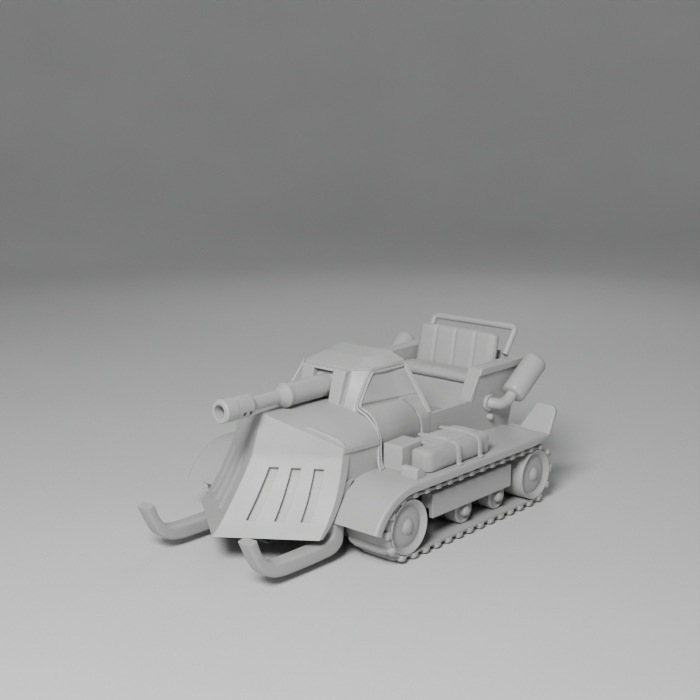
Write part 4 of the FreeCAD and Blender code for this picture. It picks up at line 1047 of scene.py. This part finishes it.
LUG_CROWN = ((56.4, 22.9), (56.4, 24.2), (57.4, 25.2), (59.6, 25.4), (61.4, 26.2), (63.2, 26.6), (89.0, 26.6),
             (91.0, 26.0), (92.8, 25.0), (93.8, 25.2), (95.0, 25.6), (97.2, 25.5), (98.2, 25.0), (98.6, 24.2))


def rubber_track(name, side):
    """Belt with cross lugs; each lug ends in a low rounded knob beside the belt's edge."""
    belt = []
    spans = 132
    for i in range(spans):
        travel = LOOP * i / spans
        ring = []
        for x, radius in ((TRACK_X0, 20.9), (TRACK_X0, 22.6), (TRACK_X0 + 0.4, 23.0), (TRACK_X1 - 0.4, 23.0),
                          (TRACK_X1, 22.6), (TRACK_X1, 20.9)):
            y, z = on_track(travel, radius)
            ring.append((x, y, z))
        belt.append(ring)
    belt.append(belt[0])
    tag = name.split("_")[-1]
    make("belt_" + tag, *grid(belt, close=True), "hull", "track_rubber", ["track_" + tag], sharp=50,
         side=side)
    lugs = []
    for i in range(LUG_COUNT):
        middle = (i + 0.5) * LOOP / LUG_COUNT
        rows = []
        for x, crown in LUG_CROWN:
            ring = []
            wide = 2.5 + 0.6 * step((x - 92.8) / 1.6) - 0.7 * step((x - 97.2) / 1.4)
            root = 22.4 if x < 96.6 else 21.2
            for along, radius in ((-wide, root), (-wide, crown - 1.0), (-wide + 0.3, crown - 0.3),
                                  (-wide + 1.0, crown), (wide - 1.0, crown), (wide - 0.3, crown - 0.3),
                                  (wide, crown - 1.0), (wide, root)):
                y, z = on_track(middle + along * PITCH_R / 24.0, max(radius, root))
                ring.append((x, y, z))
            rows.append(ring)
        lugs.append(capped(rows))
    make("lugs_" + tag, *joined(*lugs), "hull", "track_rubber", ["track_" + tag], sharp=50, side=side)


# ================= exhausts =================
def exhaust(name, side):
    tag = name.split("_")[-1]
    flange = lathe([(0.0, 6.6), (0.5, 7.0), (2.2, 7.0), (2.9, 6.5), (2.9, 4.0)], (55.9, 108.8, 82.8),
                   (60.0, 108.8, 82.8))
    line = [(56.6, 108.8, 82.8), (60.4, 110.2, 82.6), (64.4, 114.2, 82.0), (66.2, 119.0, 83.0),
            (66.9, 122.4, 84.6), (67.4, 126.0, 87.4), (67.9, 130.0, 91.0)]
    pipe = tube(smooth_path(line, 5), 4.7, 28)
    knob = lathe([(0.0, 2.6), (2.6, 2.7), (3.8, 2.2), (4.3, 1.2), (4.4, 0.0)], (55.9, 110.4, 70.6),
                 (61.0, 110.4, 70.6), 24)
    for part, label in ((flange, "flange"), (pipe, "pipe"), (knob, "knob")):
        make("exhaust_" + label + "_" + tag, *part, "hull", "bar_grey", ["exhaust_pipe_" + tag], side=side,
             bevel=0.0 if label == "pipe" else 0.3)
    low, high = Vector((67.6, 127.0, 87.7)), Vector((70.1, 159.0, 113.0))
    length = (high - low).length
    profile = [(0.0, 4.4), (0.0, 7.2), (0.5, 8.6), (1.5, 9.7), (3.0, 10.2), (length - 4.0, 10.2),
               (length - 2.4, 9.8), (length - 1.1, 8.8), (length - 0.3, 6.8), (length, 3.2),
               (length + 0.1, 0.6)]
    make("exhaust_can_" + tag, *lathe(profile, low, high, 56), "hull", "bar_grey", ["muffler_" + tag],
         sharp=50, side=side)


# ================= what the CAD model already shapes =================
def carry_over():
    """Give every CAD node that still shows the material of its slot."""
    slot_of = {item["node"]: item["material_slot"] for item in frame["record"]["subparts"]}
    for node, thing in frame["nodes"].items():
        if thing.hide_render:
            continue
        for holder in thing.material_slots:
            holder.material = MATERIALS[slot_of[node]]


# ================= build =================
hood()
plough()
cab_back()
gun_mount()
roof()
bay_middle()
seat_cushion()
seat_backrest()
PAIRED = (("hood_lip_", hood_lip), ("cowl_panel_", cowl_panel), ("pillar_frame_", pillar_frame),
          ("cab_door_", cab_door), ("cab_quarter_", cab_quarter), ("cab_rear_rib_", cab_rear_rib),
          ("screen_corner_", screen_corner), ("bay_", bay_side), ("bag_", storage_bag),
          ("strap_", bag_straps), ("fender_skin_", fender), ("mud_flap_", mud_flap), ("side_step_", step_box),
          ("wedge_block_", wedge_block), ("beam_", side_beam), ("exhaust_", exhaust), ("ski_runner_", ski),
          ("rubber_", rubber_track))
for tag, side in (("left", 1), ("right", -1)):
    for name, build in PAIRED:
        build(name + tag, side)
gun()
carry_over()


# ================= stage, light and camera =================
def stage_and_light():
    sweep = [(200.0 * k, 0.0) for k in range(1, 8)]
    sweep += [(1400.0 + reach, 1000.0 - rise) for reach, rise in arc((0.0, 0.0), 1000.0, 90, 0, 16)[1:]]
    rows = []
    for radius, height in sweep:
        rows.append([(radius * math.cos(a), radius * math.sin(a), height)
                     for a in (2 * math.pi * k / 96 for k in range(96))])
    verts, faces = grid(rows, close=True)
    faces = [tuple(reversed(face)) for face in faces]
    faces.append(tuple(range(96)))
    floor = new_piece("floor", verts, faces)
    floor.data.polygons.foreach_set("use_smooth", [True] * len(faces))
    material, tree, shader, place = new_material("floor")
    clouds = noise_node(tree, place, 3, 3)
    ramp_node(tree, clouds.outputs["Fac"], [(0.3, (0.60,) * 3), (0.7, (0.64,) * 3)],
              shader.inputs["Base Color"])
    shader.inputs["Roughness"].default_value = 0.8
    floor.data.materials.append(material)

    def area(name, place, target, size, power):
        lamp = bpy.data.lights.new(name, "AREA")
        lamp.shape = "DISK"
        lamp.size = size
        lamp.energy = power
        thing = bpy.data.objects.new(name, lamp)
        thing.location = place
        thing.rotation_euler = (Vector(target) - Vector(place)).to_track_quat("-Z", "Y").to_euler()
        bpy.context.scene.collection.objects.link(thing)
    middle = (0.0, 0.0, 0.06)
    area("key", (0.44, -0.90, 0.86), middle, 0.45, 23.0)
    area("fill", (1.25, 0.10, 0.45), middle, 1.1, 0.4)
    area("back", (-0.55, 0.95, 0.85), middle, 0.8, 2.6)
    area("top", (0.0, 0.0, 1.5), middle, 1.4, 1.0)
    world = bpy.data.worlds.new("room")
    world.use_nodes = True
    background = world.node_tree.nodes["Background"]
    background.inputs["Color"].default_value = (0.80, 0.82, 0.85, 1.0)
    background.inputs["Strength"].default_value = 0.12
    bpy.context.scene.world = world


def photo_camera():
    data = bpy.data.cameras.new("camera")
    data.lens = 61.5
    data.sensor_width = 36.0
    thing = bpy.data.objects.new("camera", data)
    thing.location = (0.6099, -0.6843, 0.3332)
    look = Vector((-0.6507, 0.7299, -0.2096))
    thing.rotation_euler = look.to_track_quat("-Z", "Y").to_euler()
    bpy.context.scene.collection.objects.link(thing)
    bpy.context.scene.camera = thing


stage_and_light()
photo_camera()


def write_sizes():
    """Imports json and does nothing else."""
    import json


write_sizes()
